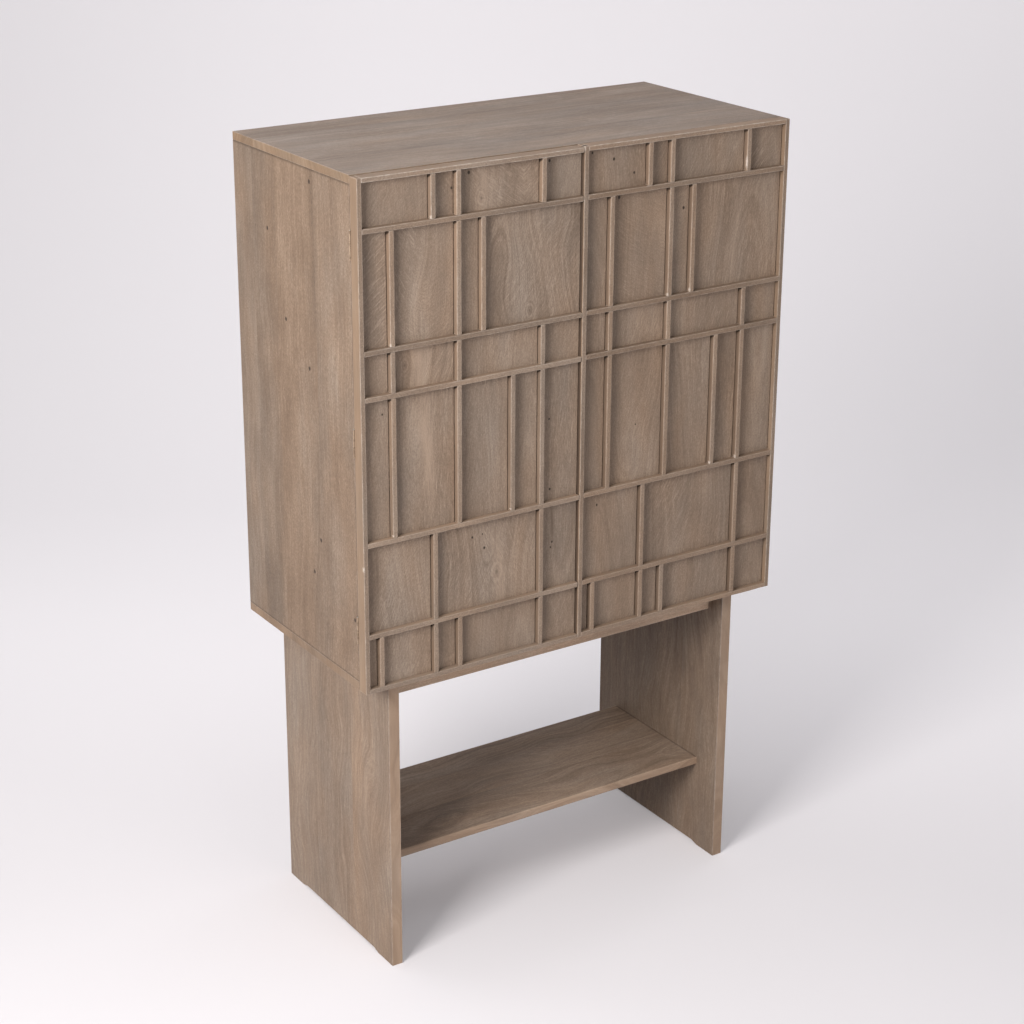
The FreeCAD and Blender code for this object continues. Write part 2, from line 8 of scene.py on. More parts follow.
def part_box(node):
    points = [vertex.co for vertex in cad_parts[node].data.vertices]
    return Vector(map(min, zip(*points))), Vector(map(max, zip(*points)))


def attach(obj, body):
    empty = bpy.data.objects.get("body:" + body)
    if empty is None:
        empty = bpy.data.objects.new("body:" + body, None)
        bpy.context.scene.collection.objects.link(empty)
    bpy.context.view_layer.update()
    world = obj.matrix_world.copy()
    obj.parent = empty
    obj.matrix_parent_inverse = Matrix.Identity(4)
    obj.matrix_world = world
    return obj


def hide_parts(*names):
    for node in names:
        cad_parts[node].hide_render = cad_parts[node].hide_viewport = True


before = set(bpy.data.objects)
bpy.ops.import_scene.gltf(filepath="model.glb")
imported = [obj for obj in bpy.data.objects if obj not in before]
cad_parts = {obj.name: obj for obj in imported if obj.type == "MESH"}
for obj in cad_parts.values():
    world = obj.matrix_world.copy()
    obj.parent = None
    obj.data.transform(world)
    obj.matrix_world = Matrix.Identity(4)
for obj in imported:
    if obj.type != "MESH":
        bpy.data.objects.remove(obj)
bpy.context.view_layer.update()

# -------------------- camera as the photograph has it
FRAME_PIXELS = 1024.0  # width and height of the photograph
SENSOR_WIDTH = 36.0  # millimetres
FOCAL_PIXELS = 2226.114  # focal length, in the photograph's pixels
CAMERA_SHIFT = (0.03, -0.05)  # parts of the frame's width
CAMERA_PLACE = (-2.17045, -3.28912, 2.29468)
CAMERA_PITCH = -19.917  # degrees, down
CAMERA_YAW = -32.550  # degrees, turned to the right of +Y

# -------------------- wood colours, linear
MID = (0.252, 0.188, 0.142)
DARK = (0.138, 0.099, 0.073)
LIGHT = (0.402, 0.318, 0.251)
WORN = (0.560, 0.480, 0.415)  # where an arris has lost its stain
KNOT = (0.075, 0.050, 0.036)
SHADE_DARK = (0.050, 0.033, 0.024)  # painted shade in corners, under rails and along seams
PIN = (0.030, 0.020, 0.015)  # inside of a pin hole
HEART = (0.385, 0.283, 0.210)  # pale heart streak
COOL_WASH = (0.955, 1.0, 1.045)  # a wash multiplies the colour below it
WARM_WASH = (1.06, 0.985, 0.91)

# -------------------- words for the shader helpers
WHITE = (1.0, 1.0, 1.0)
NOTHING = (0.0, 0.0, 0.0)
MIDDLE = 0.5  # mean of a noise
EULER = 2.718


# ==================== shader helpers
class Graph:
    """Wires one material's nodes."""

    def __init__(self, name):
        self.material = bpy.data.materials.new(name)
        self.material.use_nodes = True
        self.tree = self.material.node_tree
        self.tree.nodes.clear()

    def node(self, kind, **settings):
        made = self.tree.nodes.new(kind)
        for key, value in settings.items():
            setattr(made, key, value)
        return made

    def feed(self, socket, value):
        if isinstance(value, bpy.types.NodeSocket):
            self.tree.links.new(value, socket)
        else:
            socket.default_value = value

    def wire(self, node, *values):
        """Feeds a node's first sockets and returns its first output."""
        for socket, value in zip(node.inputs, values):
            self.feed(socket, value)
        return node.outputs[0]

    def fill(self, node, **values):
        """Feeds a node's sockets by name, with _ for a space."""
        for key, value in values.items():
            self.feed(node.inputs[key.replace("_", " ")], value)
        return node

    def math(self, operation, a, b=0.0):
        return self.wire(self.node("ShaderNodeMath", operation=operation), a, b)

    def chain(self, operation, values):
        total = values[0]
        for value in values[1:]:
            total = self.math(operation, total, value)
        return total

    def add(self, *values):
        return self.chain("ADD", values)

    def times(self, *values):
        return self.chain("MULTIPLY", values)

    def largest(self, *values):
        return self.chain("MAXIMUM", values)

    def smallest(self, *values):
        return self.chain("MINIMUM", values)

    def minus(self, a, b):
        return self.math("SUBTRACT", a, b)

    def above(self, a, b):
        return self.math("GREATER_THAN", a, b)

    def centred(self, value, *factors):
        """How far a noise is from its mean, times the factors."""
        return self.times(self.minus(value, MIDDLE), *factors)

    def length(self, a, b):
        return self.math("SQRT", self.add(self.times(a, a), self.times(b, b)))

    def bell(self, square, sharpness=1.0):
        """Bell curve over the square of a distance."""
        return self.math("POWER", EULER, self.times(square, -sharpness))

    def join(self, x, y, z):
        return self.wire(self.node("ShaderNodeCombineXYZ"), x, y, z)

    def split(self, vector):
        made = self.node("ShaderNodeSeparateXYZ")
        self.wire(made, vector)
        return tuple(made.outputs)

    def vector(self, operation, a, b):
        return self.wire(self.node("ShaderNodeVectorMath", operation=operation), a, b)

    def object_place(self):
        return self.node("ShaderNodeTexCoord").outputs["Object"]

    def noise(self, where, detail=2.0, roughness=0.5):
        """A noise as its value and its colour."""
        made = self.node("ShaderNodeTexNoise", noise_dimensions="3D")
        self.fill(made, Vector=where, Scale=1.0, Detail=detail, Roughness=roughness)
        return made.outputs["Fac"], made.outputs["Color"]

    def spread(self, value, low, high, start=0.0, end=1.0):
        """Smooth step from start to end while a value goes from low to high."""
        made = self.node("ShaderNodeMapRange", interpolation_type="SMOOTHSTEP")
        return self.wire(made, value, low, high, start, end)

    def mix(self, factor, a, b, blend="MIX"):
        made = self.node("ShaderNodeMix", data_type="RGBA", blend_type=blend)
        self.feed(made.inputs[0], factor)
        for socket, value in ((made.inputs[6], a), (made.inputs[7], b)):
            self.feed(socket, value if isinstance(value, bpy.types.NodeSocket) else (*value, 1.0))
        return made.outputs[2]

    def wash(self, colour, factors):
        """A colour times three factors."""
        return self.mix(1.0, colour, factors, "MULTIPLY")

    def ramp(self, value, stops):
        made = self.node("ShaderNodeValToRGB")
        self.feed(made.inputs[0], value)
        ramp = made.color_ramp
        while len(ramp.elements) < len(stops):
            ramp.elements.new(0.5)
        for element, (place, colour) in zip(ramp.elements, stops):
            element.position = place
            element.color = (*colour, 1.0)
        return made.outputs[0]

    def finish(self, colour, roughness, height=None, bump=0.0, depth=0.0, **constants):
        """Wires the shader; constants are set on its own sockets."""
        self.shader = self.node("ShaderNodeBsdfPrincipled")
        self.fill(self.shader, Base_Color=colour, Roughness=roughness, **constants)
        if height is not None:
            made = self.fill(self.node("ShaderNodeBump"), Strength=bump, Distance=depth, Height=height)
            self.fill(self.shader, Normal=made.outputs[0])
        self.output = self.node("ShaderNodeOutputMaterial")
        self.feed(self.output.inputs[0], self.shader.outputs[0])
        return self.material


# ==================== facts of a board
# A board's own frame is u along the grain, v across it and w into its depth, in metres from its centre.
# pos: place in that frame             half: half of its size          seed: offset of its noises
# look: tone, warmth, ring figure      pith: its v, its w, its tilt    streak: u, v, strength (dark below 0)
# knot and pins: u, v, radius          chip: u, half length, side      edge: painted side light and shade, wear
# flow: slant of the brushed strokes in radians, their strength, and the v at which they fold
BOARD_FACTS = ("pos", "half", "seed", "look", "pith", "knot", "flow", "pin_a", "pin_b", "pin_c", "streak",
               "chip", "edge")
NO_FOLD = -0.5  # a v that lies outside every board
PLAIN_BOARD = dict.fromkeys(("knot", "pin_a", "pin_b", "pin_c", "streak", "chip"), NOTHING)
PLAIN_BOARD.update(look=(1.0, 0.5, 0.3), pith=(0.03, -0.05, 0.0), flow=(0.0, 0.4, NO_FOLD),
                   edge=(1.0, 0.0, 1.0))


def board_source(g):
    """Board facts that each vertex of a built board carries."""
    facts = {}
    for name in BOARD_FACTS:
        facts[name] = g.node("ShaderNodeAttribute", attribute_name="board_" + name).outputs["Vector"]
    facts["pins"] = (facts["pin_a"], facts["pin_b"], facts["pin_c"])
    return facts


def axes_of(order):
    """Axis numbers of a board's grain, width and depth, from three letters such as zxy."""
    return ["xyz".index(letter) for letter in order]


def solid_source(node, order, seed, pins=(), **changes):
    """The same facts for a CAD node: order names its along, across and depth axes.

    Pins are (along, across, radius), with the first two in the model's frame."""
    low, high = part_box(node)
    centre = (low + high) / 2
    half = (high - low) / 2
    axes = axes_of(order)
    values = dict(PLAIN_BOARD, half=[half[a] for a in axes], seed=seed)
    values.update(changes)

    def source(g):
        local = g.split(g.vector("SUBTRACT", g.object_place(), centre))
        facts = {name: g.join(*value) for name, value in values.items()}
        facts["pos"] = g.join(*(local[a] for a in axes))
        facts["pins"] = [g.join(along - centre[axes[0]], across - centre[axes[1]], radius)
                         for along, across, radius in pins]
        return facts
    return source


# ==================== wood
# Noises: waves per metre along the grain and across it, detail, roughness.
DRIFT = (4.0, 7.0, 1.5, 0.5)  # wandering of the grain
CLOUD = (5.0, 16.0, 2.5, 0.5)  # broad patches of tone and warmth
BLOTCH = (13.0, 22.0, 3.0, 0.6)
FIBRE = (22.0, 520.0, 2.0, 0.5)
PEBBLE = (300.0, 470.0, 2.0, 0.6)
STROKE = (42.0, 330.0, 1.5, 0.55)
HATCH = (110.0, 640.0, 1.5, 0.6)  # fine scratches between the strokes
MOTTLE = (9.0, 75.0, 4.0, 0.65)
BAND_BEND = (3.0, 4.0, 3.0, 0.6)
RUB = (70.0, 210.0, 2.0, 0.7)
RING_NOISE = (3.0, 0.6)  # detail, roughness
RING_WAVES = 200.0  # per metre of radius
RING_WANDER = 1.5  # waves per metre of board

# How much glued planks differ, and how far bands waver (metres).
PLANK_SEED_STEP = 3.7
PLANK_SEEDS = (40.0, 40.0, 40.0)
PLANK_TONE = 0.06
PLANK_WARMTH = 0.4
PLANK_PITH = 0.4
BAND_WAVER = 0.10

# Grain round a knot; a ratio is a distance in knot radii.
DRIFT_SWING = 0.12  # metres, times the ring figure
DRIFT_DEPTH = 0.6
KNOT_SHAPE = 0.6  # width to length
KNOT_SHARPNESS = 0.12
KNOT_PUSH = 0.75
KNOT_RINGS = 0.004  # metres per ratio
EYE_WAVES = 4.2  # radians per ratio
KNOT_STRENGTH = 0.55
PIN_SHAPE = 0.8
PIN_STRENGTH = 0.93
SMALLEST_SIZE = 0.00002  # metres, keeps a division finite
SMALLEST_MARK = 0.0001  # metres, a smaller mark is none
STROKE_MEAN = 0.35
# painted shadow under a rail: how fast it reaches lower towards the back
RAIL_SHADOW_SLOPE = 0.5

# What each noise adds to the tone, which runs from dark to light.
START_TONE = 0.5
RING_TONE = 0.62
RING_LEAST = 0.25
FIBRE_TONE = 0.24
CLOUD_TONE = 0.50
STROKE_TONE = 0.30
HATCH_TONE = 0.32
EYE_TONE = 0.15
PEBBLE_TONE = 0.10
PEBBLE_FACE_TONE = 0.42
TONE_STOPS = ((0.10, DARK), (0.50, MID), (0.90, LIGHT))
CLOUD_WARMTH = 1.6
EDGE_WARMTH = 0.35

# Ranges: two limits, and the results at them where these are not 0 and 1.
# Over metres from a face, an arris or a corner:
BROAD = (0.0002, 0.0009, 1.0, 0.0)
# Painted shade on side faces, from a few millimetres behind the front:
SIDE_SHADE_START = (0.0024, 0.0046)
SIDE_SHADE_END = (0.0100, 0.0135, 1.0, 0.0)
# painted shadow of a rail on a strip's upper end:
RAIL_SHADOW_REACH = (0.0018, 0.0040, 1.0, 0.0)
# painted shade where a board's ends meet another board:
CONTACT_SHADE_REACH = (0.0008, 0.0050, 1.0, 0.0)
# painted shadow of a strip on the field board beside it:
STRIP_SHADOW_START = (0.003, 0.013, 0.45, 1.0)
STRIP_SHADOW_END = (0.015, 0.038, 1.0, 0.0)
WORN_ARRIS = (0.0004, 0.0020, 1.0, 0.0)
CHIP_SIDE = (0.0018, 0.0036)
CHIP_DEPTH = (0.0015, 0.0065, 1.0, 0.0)
# Over a noise:
STROKE_EDGE = (0.42, 0.74)
STROKE_PATCHES = (0.38, 0.54)
MOTTLE_EDGE = (0.44, 0.66)
# these two break up the painted shadow beside a strip:
STRIP_SHADOW_CLOUDS = (0.35, 0.6, 0.5, 1.0)
STRIP_SHADOW_PEBBLES = (0.35, 0.6, 1.15, 0.85)
RUB_PATCHES = (0.42, 0.68, 0.4, 1.0)
CHIP_PATCHES = (0.38, 0.55, 0.35, 1.0)
STREAK_FIBRES = (0.30, 0.60, 0.55, 1.0)
# Over radii of a knot or a pin, and half lengths of a chip:
KNOT_EDGE = (0.2, 1.0, 1.0, 0.0)
PIN_EDGE = (0.55, 1.25, 1.0, 0.0)
CHIP_ENDS = (0.3, 1.2, 1.0, 0.0)

# A streak fades over one metre divided by these numbers: along the grain, across it.
DARK_STREAK = (26.0, 430.0)
PALE_STREAK = (11.0, 100.0)

# Surface.
WOOD_ROUGHNESS = 0.62
PEBBLE_ROUGHNESS = 0.25
WOOD_SPECULAR = 0.22
WOOD_BUMP = (0.5, 0.0008)  # strength, metres
FIBRE_HEIGHT = 0.25
RING_HEIGHT = 0.25
STROKE_HEIGHT = 0.6
PEBBLE_HEIGHT = 0.25
PEBBLE_FACE_HEIGHT = 0.9


class Wood(Graph):
    """A wood material in the making: a board's facts, and what its layers share."""

    def __init__(self, name, source):
        super().__init__(name)
        self.facts = source(self)
        self.seed = self.facts["seed"]
        self.u, self.v, self.w = self.split(self.facts["pos"])
        self.tone, self.warmth, self.figure = self.split(self.facts["look"])
        self.pith_v, self.pith_w, self.pith_tilt = self.split(self.facts["pith"])
        # painted light and painted shade on side faces, and their wear
        self.edge_tone, self.side_grime, self.own_wear = self.split(self.facts["edge"])
        _, self.half_v, self.half_w = self.split(self.facts["half"])
        here = self.vector("ABSOLUTE", self.facts["pos"], NOTHING)
        self.gap_u, self.gap_v, self.gap_w = self.split(self.vector("SUBTRACT", self.facts["half"], here))
        self.front_gap = self.add(self.w, self.half_w)
        self.broad = self.spread(self.gap_w, *BROAD)
        self.narrow = self.minus(1.0, self.broad)

    def grain(self, kind, along=None, across=None):
        """A noise that is drawn out along the grain, as (value, colour)."""
        waves_along, waves_across, detail, roughness = kind
        where = self.join(self.times(self.u if along is None else along, waves_along),
                          self.times(self.v if across is None else across, waves_across),
                          self.times(self.w, waves_across))
        return self.noise(self.vector("ADD", where, self.seed), detail, roughness)

    def spot(self, mark, stretch):
        """Distance to a mark in its radii, shortened along the grain, and whether there is one."""
        at_u, at_v, radius = self.split(mark)
        off_u = self.times(self.minus(self.u, at_u), stretch)
        off_v = self.minus(self.v, at_v)
        away = self.length(off_u, off_v)
        return (self.math("DIVIDE", away, self.largest(radius, SMALLEST_SIZE)),
                self.above(radius, SMALLEST_MARK))


def glue_planks(g, joints):
    """The board is glued up from planks, each with its own figure; joints are the v between them."""
    number = g.add(*(g.above(g.v, joint) for joint in joints))
    white = g.node("ShaderNodeTexWhiteNoise", noise_dimensions="1D")
    g.fill(white, W=g.add(g.times(number, PLANK_SEED_STEP), g.split(g.seed)[0]))
    own = white.outputs["Color"]
    own_tone, own_warmth, own_pith = g.split(own)
    g.seed = g.vector("ADD", g.seed, g.vector("MULTIPLY", own, PLANK_SEEDS))
    g.tone = g.add(g.tone, g.centred(own_tone, PLANK_TONE))
    g.warmth = g.add(g.warmth, g.centred(own_warmth, PLANK_WARMTH))
    g.pith_v = g.add(g.pith_v, g.centred(own_pith, PLANK_PITH))


def lay_bands(g, bands):
    """Soft bands of tone and warmth across the grain, each at (v, tone change, warmth change)."""
    bent = g.add(g.v, g.centred(g.grain(BAND_BEND)[0], BAND_WAVER))
    for (start, tone_a, warmth_a), (end, tone_b, warmth_b) in zip(bands, bands[1:]):
        step = g.spread(bent, start, end)
        g.tone = g.add(g.tone, g.times(step, tone_b - tone_a))
        g.warmth = g.add(g.warmth, g.times(step, warmth_b - warmth_a))


def grow(g):
    """The grain wanders and runs round a knot, and shows faint rings cut by the board's face."""
    drift_v, drift_w, g.patches = g.split(g.grain(DRIFT)[1])
    swing = g.times(g.figure, DRIFT_SWING)
    across = g.add(g.v, g.centred(drift_v, swing))
    deep = g.add(g.w, g.centred(drift_w, swing, DRIFT_DEPTH))
    g.ratio, g.has_knot = g.spot(g.facts["knot"], KNOT_SHAPE)
    near = g.bell(g.times(g.ratio, g.ratio), KNOT_SHARPNESS)
    g.near_knot = g.times(near, g.has_knot)
    from_knot = g.minus(g.v, g.split(g.facts["knot"])[1])
    g.across = g.minus(across, g.times(from_knot, g.near_knot, KNOT_PUSH))

    ring_v = g.minus(g.across, g.pith_v)
    ring_w = g.minus(deep, g.add(g.pith_w, g.times(g.pith_tilt, g.u)))
    radius = g.add(g.length(ring_v, ring_w), g.times(g.ratio, g.near_knot, KNOT_RINGS))
    where = g.join(g.times(radius, RING_WAVES), g.times(g.u, RING_WANDER), g.times(g.v, RING_WANDER))
    g.ring = g.noise(g.vector("ADD", where, g.seed), *RING_NOISE)[0]
    g.fibre = g.grain(FIBRE, across=g.across)[0]
    g.pebble = g.grain(PEBBLE)[0]
    g.cloud_tone, g.cloud_warmth, g.cloud_pool = g.split(g.grain(CLOUD)[1])


def brush(g, strokes):
    """Brushed strokes slant to the grain, and may fold into a chevron."""
    slant, strength, fold = g.split(g.facts["flow"])
    side_v = g.math("ABSOLUTE", g.minus(g.across, fold))
    sine, cosine = g.math("SINE", slant), g.math("COSINE", slant)
    along = g.add(g.times(g.u, cosine), g.times(side_v, sine))
    across = g.minus(g.times(side_v, cosine), g.times(g.u, sine))
    stroke = g.spread(g.grain(STROKE, along, across)[0], *STROKE_EDGE)
    in_patch = g.spread(g.patches, *STROKE_PATCHES)
    g.stroke = g.times(g.minus(stroke, STROKE_MEAN), in_patch, strength, strokes)
    g.hatch = g.centred(g.grain(HATCH, along, across)[0], strokes, g.broad)


def base_colour(g, contrast, rings, speckle, blotch):
    """Colour from the sum of the noises, with a cool or a warm wash."""
    pebble_tone = g.add(PEBBLE_TONE, g.times(g.broad, PEBBLE_FACE_TONE + speckle))
    value = g.add(
        START_TONE,
        g.centred(g.ring, g.add(RING_LEAST, g.figure), RING_TONE * contrast * rings),
        g.centred(g.fibre, FIBRE_TONE * contrast),
        g.centred(g.cloud_tone, CLOUD_TONE * contrast),
        g.times(g.stroke, STROKE_TONE, g.broad),
        g.centred(g.pebble, pebble_tone),
        g.times(g.hatch, HATCH_TONE),
        g.times(g.math("SINE", g.times(g.ratio, EYE_WAVES)), g.near_knot, EYE_TONE))
    if blotch:
        value = g.add(value, g.centred(g.grain(BLOTCH)[0], g.broad, blotch))
    colour = g.ramp(value, TONE_STOPS)
    warmth = g.add(g.warmth, g.centred(g.cloud_warmth, CLOUD_WARMTH), g.times(g.narrow, EDGE_WARMTH))
    return g.mix(warmth, g.wash(colour, COOL_WASH), g.wash(colour, WARM_WASH))


def tone_faces(g, colour, face_lift, edge_lift, tint, edge_tint):
    """Broad faces and side faces are lightened or darkened by factors of their own, and tinted; the strips'
    side faces carry painted light, and the top slab's face a painted sheen.
    """
    lift = g.add(g.times(g.broad, face_lift), g.times(g.narrow, g.edge_tone, edge_lift))
    tone = g.times(g.tone, lift)
    paint = g.mix(g.broad, edge_tint, tint)
    return g.wash(colour, g.vector("MULTIPLY", g.join(tone, tone, tone), paint))


def paint_corner_shade(g, colour, rail_shadow, contact_shade):
    """Painted shade on the side faces behind the front, a painted shadow in the corner under a rail, and
    painted shade where the board's ends meet others.
    """
    side_shade_mask = g.times(g.spread(g.front_gap, *SIDE_SHADE_START),
                   g.spread(g.front_gap, *SIDE_SHADE_END), g.narrow, g.side_grime)
    # a painted shadow of the rail above, on the upper end of a strip's left face
    if rail_shadow:
        slanted = g.minus(g.gap_u, g.times(g.front_gap, RAIL_SHADOW_SLOPE))
        upper_end = g.above(g.u, 0.0)
        left_face = g.math("LESS_THAN", g.v, 0.0)
        corner = g.times(g.spread(slanted, *RAIL_SHADOW_REACH), upper_end, left_face, g.narrow, rail_shadow)
        side_shade_mask = g.largest(side_shade_mask, corner)
    colour = g.mix(side_shade_mask, colour, SHADE_DARK)
    # painted shade where the board's ends meet other boards
    if contact_shade:
        contact_shade_mask = g.spread(g.gap_u, *CONTACT_SHADE_REACH)
        colour = g.mix(g.times(contact_shade_mask, g.broad, contact_shade), colour, SHADE_DARK)
    return colour


def paint_cast_shade(g, colour, mottled_shade, pool):
    """Painted shade on one face, broken up by a mottle, as (its start and end in u, strength, face), and a
    painted shadow along a field board's left edge, cast by the strip beside it.
    """
    # painted shade on one face, darker towards one end, broken up by a mottle
    if mottled_shade:
        start, end, strength, face = mottled_shade
        mottle = g.spread(g.grain(MOTTLE, across=g.across)[0], *MOTTLE_EDGE)
        on_face = g.above(g.times(g.w, face), 0.0)
        amount = g.times(mottle, g.spread(g.u, start, end), g.broad, on_face, strength)
        colour = g.mix(amount, colour, KNOT)
    # a painted shadow along a field board's left edge, cast by the strip beside it
    if pool:
        left_gap = g.add(g.v, g.half_v)
        strip_shadow_mask = g.times(g.spread(left_gap, *STRIP_SHADOW_START), g.spread(left_gap, *STRIP_SHADOW_END),
                         g.spread(g.cloud_pool, *STRIP_SHADOW_CLOUDS), g.spread(g.pebble, *STRIP_SHADOW_PEBBLES), pool)
        colour = g.mix(strip_shadow_mask, colour, DARK)
    return colour


def mark(g, colour):
    """Heart streaks, knots and pin holes."""
    at_u, at_v, strength = g.split(g.facts["streak"])
    pale = g.above(strength, 0.0)
    narrow_u, narrow_v = (g.add(dark, g.times(pale, light - dark))
                          for dark, light in zip(DARK_STREAK, PALE_STREAK))
    off_u = g.times(g.minus(g.u, at_u), narrow_u)
    off_v = g.times(g.minus(g.across, at_v), narrow_v)
    streak = g.bell(g.add(g.times(off_v, off_v), g.times(off_u, off_u)))
    darkening = g.times(streak, g.largest(g.times(strength, -1.0), 0.0))
    colour = g.mix(darkening, colour, DARK)
    lightening = g.times(streak, g.largest(strength, 0.0), g.spread(g.fibre, *STREAK_FIBRES))
    colour = g.mix(lightening, colour, HEART)
    knot = g.times(g.spread(g.ratio, *KNOT_EDGE), g.has_knot, KNOT_STRENGTH)
    colour = g.mix(knot, colour, KNOT)
    for pin in g.facts["pins"]:
        away, has_pin = g.spot(pin, PIN_SHAPE)
        hole = g.times(g.spread(away, *PIN_EDGE), has_pin, g.broad, PIN_STRENGTH)
        colour = g.mix(hole, colour, PIN)
    return colour


def rub(g, colour, ends, wear):
    """Arrises lose their stain, also across the ends if ends is true, and a strip may have a chip."""
    arris = g.largest(g.gap_v, g.gap_w)
    if ends:
        # The second smallest distance to a face is the distance to an arris.
        least = g.smallest(g.gap_u, g.gap_v, g.gap_w)
        most = g.largest(g.gap_u, g.gap_v, g.gap_w)
        arris = g.minus(g.add(g.gap_u, g.gap_v, g.gap_w), g.add(least, most))
    patchy = g.spread(g.grain(RUB)[0], *RUB_PATCHES)
    rubbed = g.times(g.spread(arris, *WORN_ARRIS), patchy)
    colour = g.mix(g.times(rubbed, g.own_wear, wear), colour, WORN)
    at_u, size, side = g.split(g.facts["chip"])
    away = g.math("DIVIDE", g.math("ABSOLUTE", g.minus(g.u, at_u)), g.largest(size, SMALLEST_SIZE))
    chip = g.times(g.spread(away, *CHIP_ENDS), g.spread(g.times(g.v, side), *CHIP_SIDE),
                   g.spread(g.front_gap, *CHIP_DEPTH), g.spread(g.pebble, *CHIP_PATCHES),
                   g.above(size, SMALLEST_MARK))
    return g.mix(chip, colour, WORN)


def surface(g, colour, speckle):
    pebble_height = g.add(PEBBLE_HEIGHT, g.times(g.broad, PEBBLE_FACE_HEIGHT + speckle))
    height = g.add(g.times(g.fibre, FIBRE_HEIGHT), g.times(g.ring, RING_HEIGHT),
                   g.times(g.stroke, STROKE_HEIGHT, g.broad), g.times(g.pebble, pebble_height))
    rough = g.add(WOOD_ROUGHNESS, g.centred(g.pebble, PEBBLE_ROUGHNESS))
    return g.finish(colour, rough, height, *WOOD_BUMP, Specular_IOR_Level=WOOD_SPECULAR)


def wood(name, source, joints=(), bands=(), mottled_shade=None, speckle=0.0, blotch=0.0, wear=0.5, contrast=1.0,
         rings=1.0, strokes=1.0, tint=WHITE, edge_tint=WHITE, face_lift=1.0, edge_lift=1.12, pool=0.0,
         rail_shadow=0.0, contact_shade=0.0, ends=True):
    """A wood material. Amounts of one are the full effect, and none at zero."""
    g = Wood(name, source)
    if joints:
        glue_planks(g, joints)
    if bands:
        lay_bands(g, bands)
    grow(g)
    brush(g, strokes)
    colour = base_colour(g, contrast, rings, speckle, blotch)
    colour = tone_faces(g, colour, face_lift, edge_lift, tint, edge_tint)
    colour = paint_corner_shade(g, colour, rail_shadow, contact_shade)
    colour = paint_cast_shade(g, colour, mottled_shade, pool)
    colour = mark(g, colour)
    colour = rub(g, colour, ends, wear)
    return surface(g, colour, speckle)


# ==================== boards built from the CAD solids
POINT_DIGITS = 5  # mesh points that agree this far are one
ROW_DIGITS = 3  # solids whose lower ends agree this far are in one row
SHOULDER = 0.0018  # metres from an arris to the flat of the face
ARC_MIDDLE = 0.29  # middle of an eased arris, in parts of the ease
RUB_ALONG = 55  # unevenness of an arris: waves per metre
RUB_PER_SIDE = 9  # and its offset from side to side
RUB_MEAN = 0.15
NEAR_ARRIS = 0.9  # in shoulders
FLAT_RUB = 0.25  # part of the rub that the flat of a face gets


def solids(node):
    """Lowest and highest corner of each solid in a CAD node, row by row from the top."""
    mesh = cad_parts[node].data
    keys = [tuple(round(c, POINT_DIGITS) for c in vertex.co) for vertex in mesh.vertices]
    leader = {key: key for key in keys}

    def find(key):
        while leader[key] != key:
            leader[key] = leader[leader[key]]
            key = leader[key]
        return key

    for polygon in mesh.polygons:
        first = find(keys[polygon.vertices[0]])
        for index in polygon.vertices[1:]:
            leader[find(keys[index])] = first
    groups = {}
    for key in leader:
        low, high = groups.setdefault(find(key), (list(key), list(key)))
        for axis in range(3):
            low[axis] = min(low[axis], key[axis])
            high[axis] = max(high[axis], key[axis])
    return sorted(groups.values(), key=lambda pair: (round(-pair[0][2], ROW_DIGITS), pair[0][0]))


def cross_section(half_v, half_w, shoulder, ease):
    """Points round a board, five at each corner, as (v, w, side of v, side of w)."""
    middle = ease * ARC_MIDDLE
    points = []
    for side_v, side_w in ((1, 1), (-1, 1), (-1, -1), (1, -1)):
        insets = [(shoulder, 0.0), (ease, 0.0), (middle, middle), (0.0, ease), (0.0, shoulder)]
        if side_v * side_w > 0:
            insets.reverse()
        for inset_v, inset_w in insets:
            points.append((side_v * half_v - side_v * inset_v, side_w * half_w - side_w * inset_w,
                           side_v, side_w))
    return points


def stations(half_u, step, ease):
    """Places of the cross sections along a board."""
    length = 2 * half_u
    count = max(2, int(round(length / step)))
    inner = [-half_u + length * i / count for i in range(1, count)]
    return [-half_u, -half_u + ease, *inner, half_u - ease, half_u]


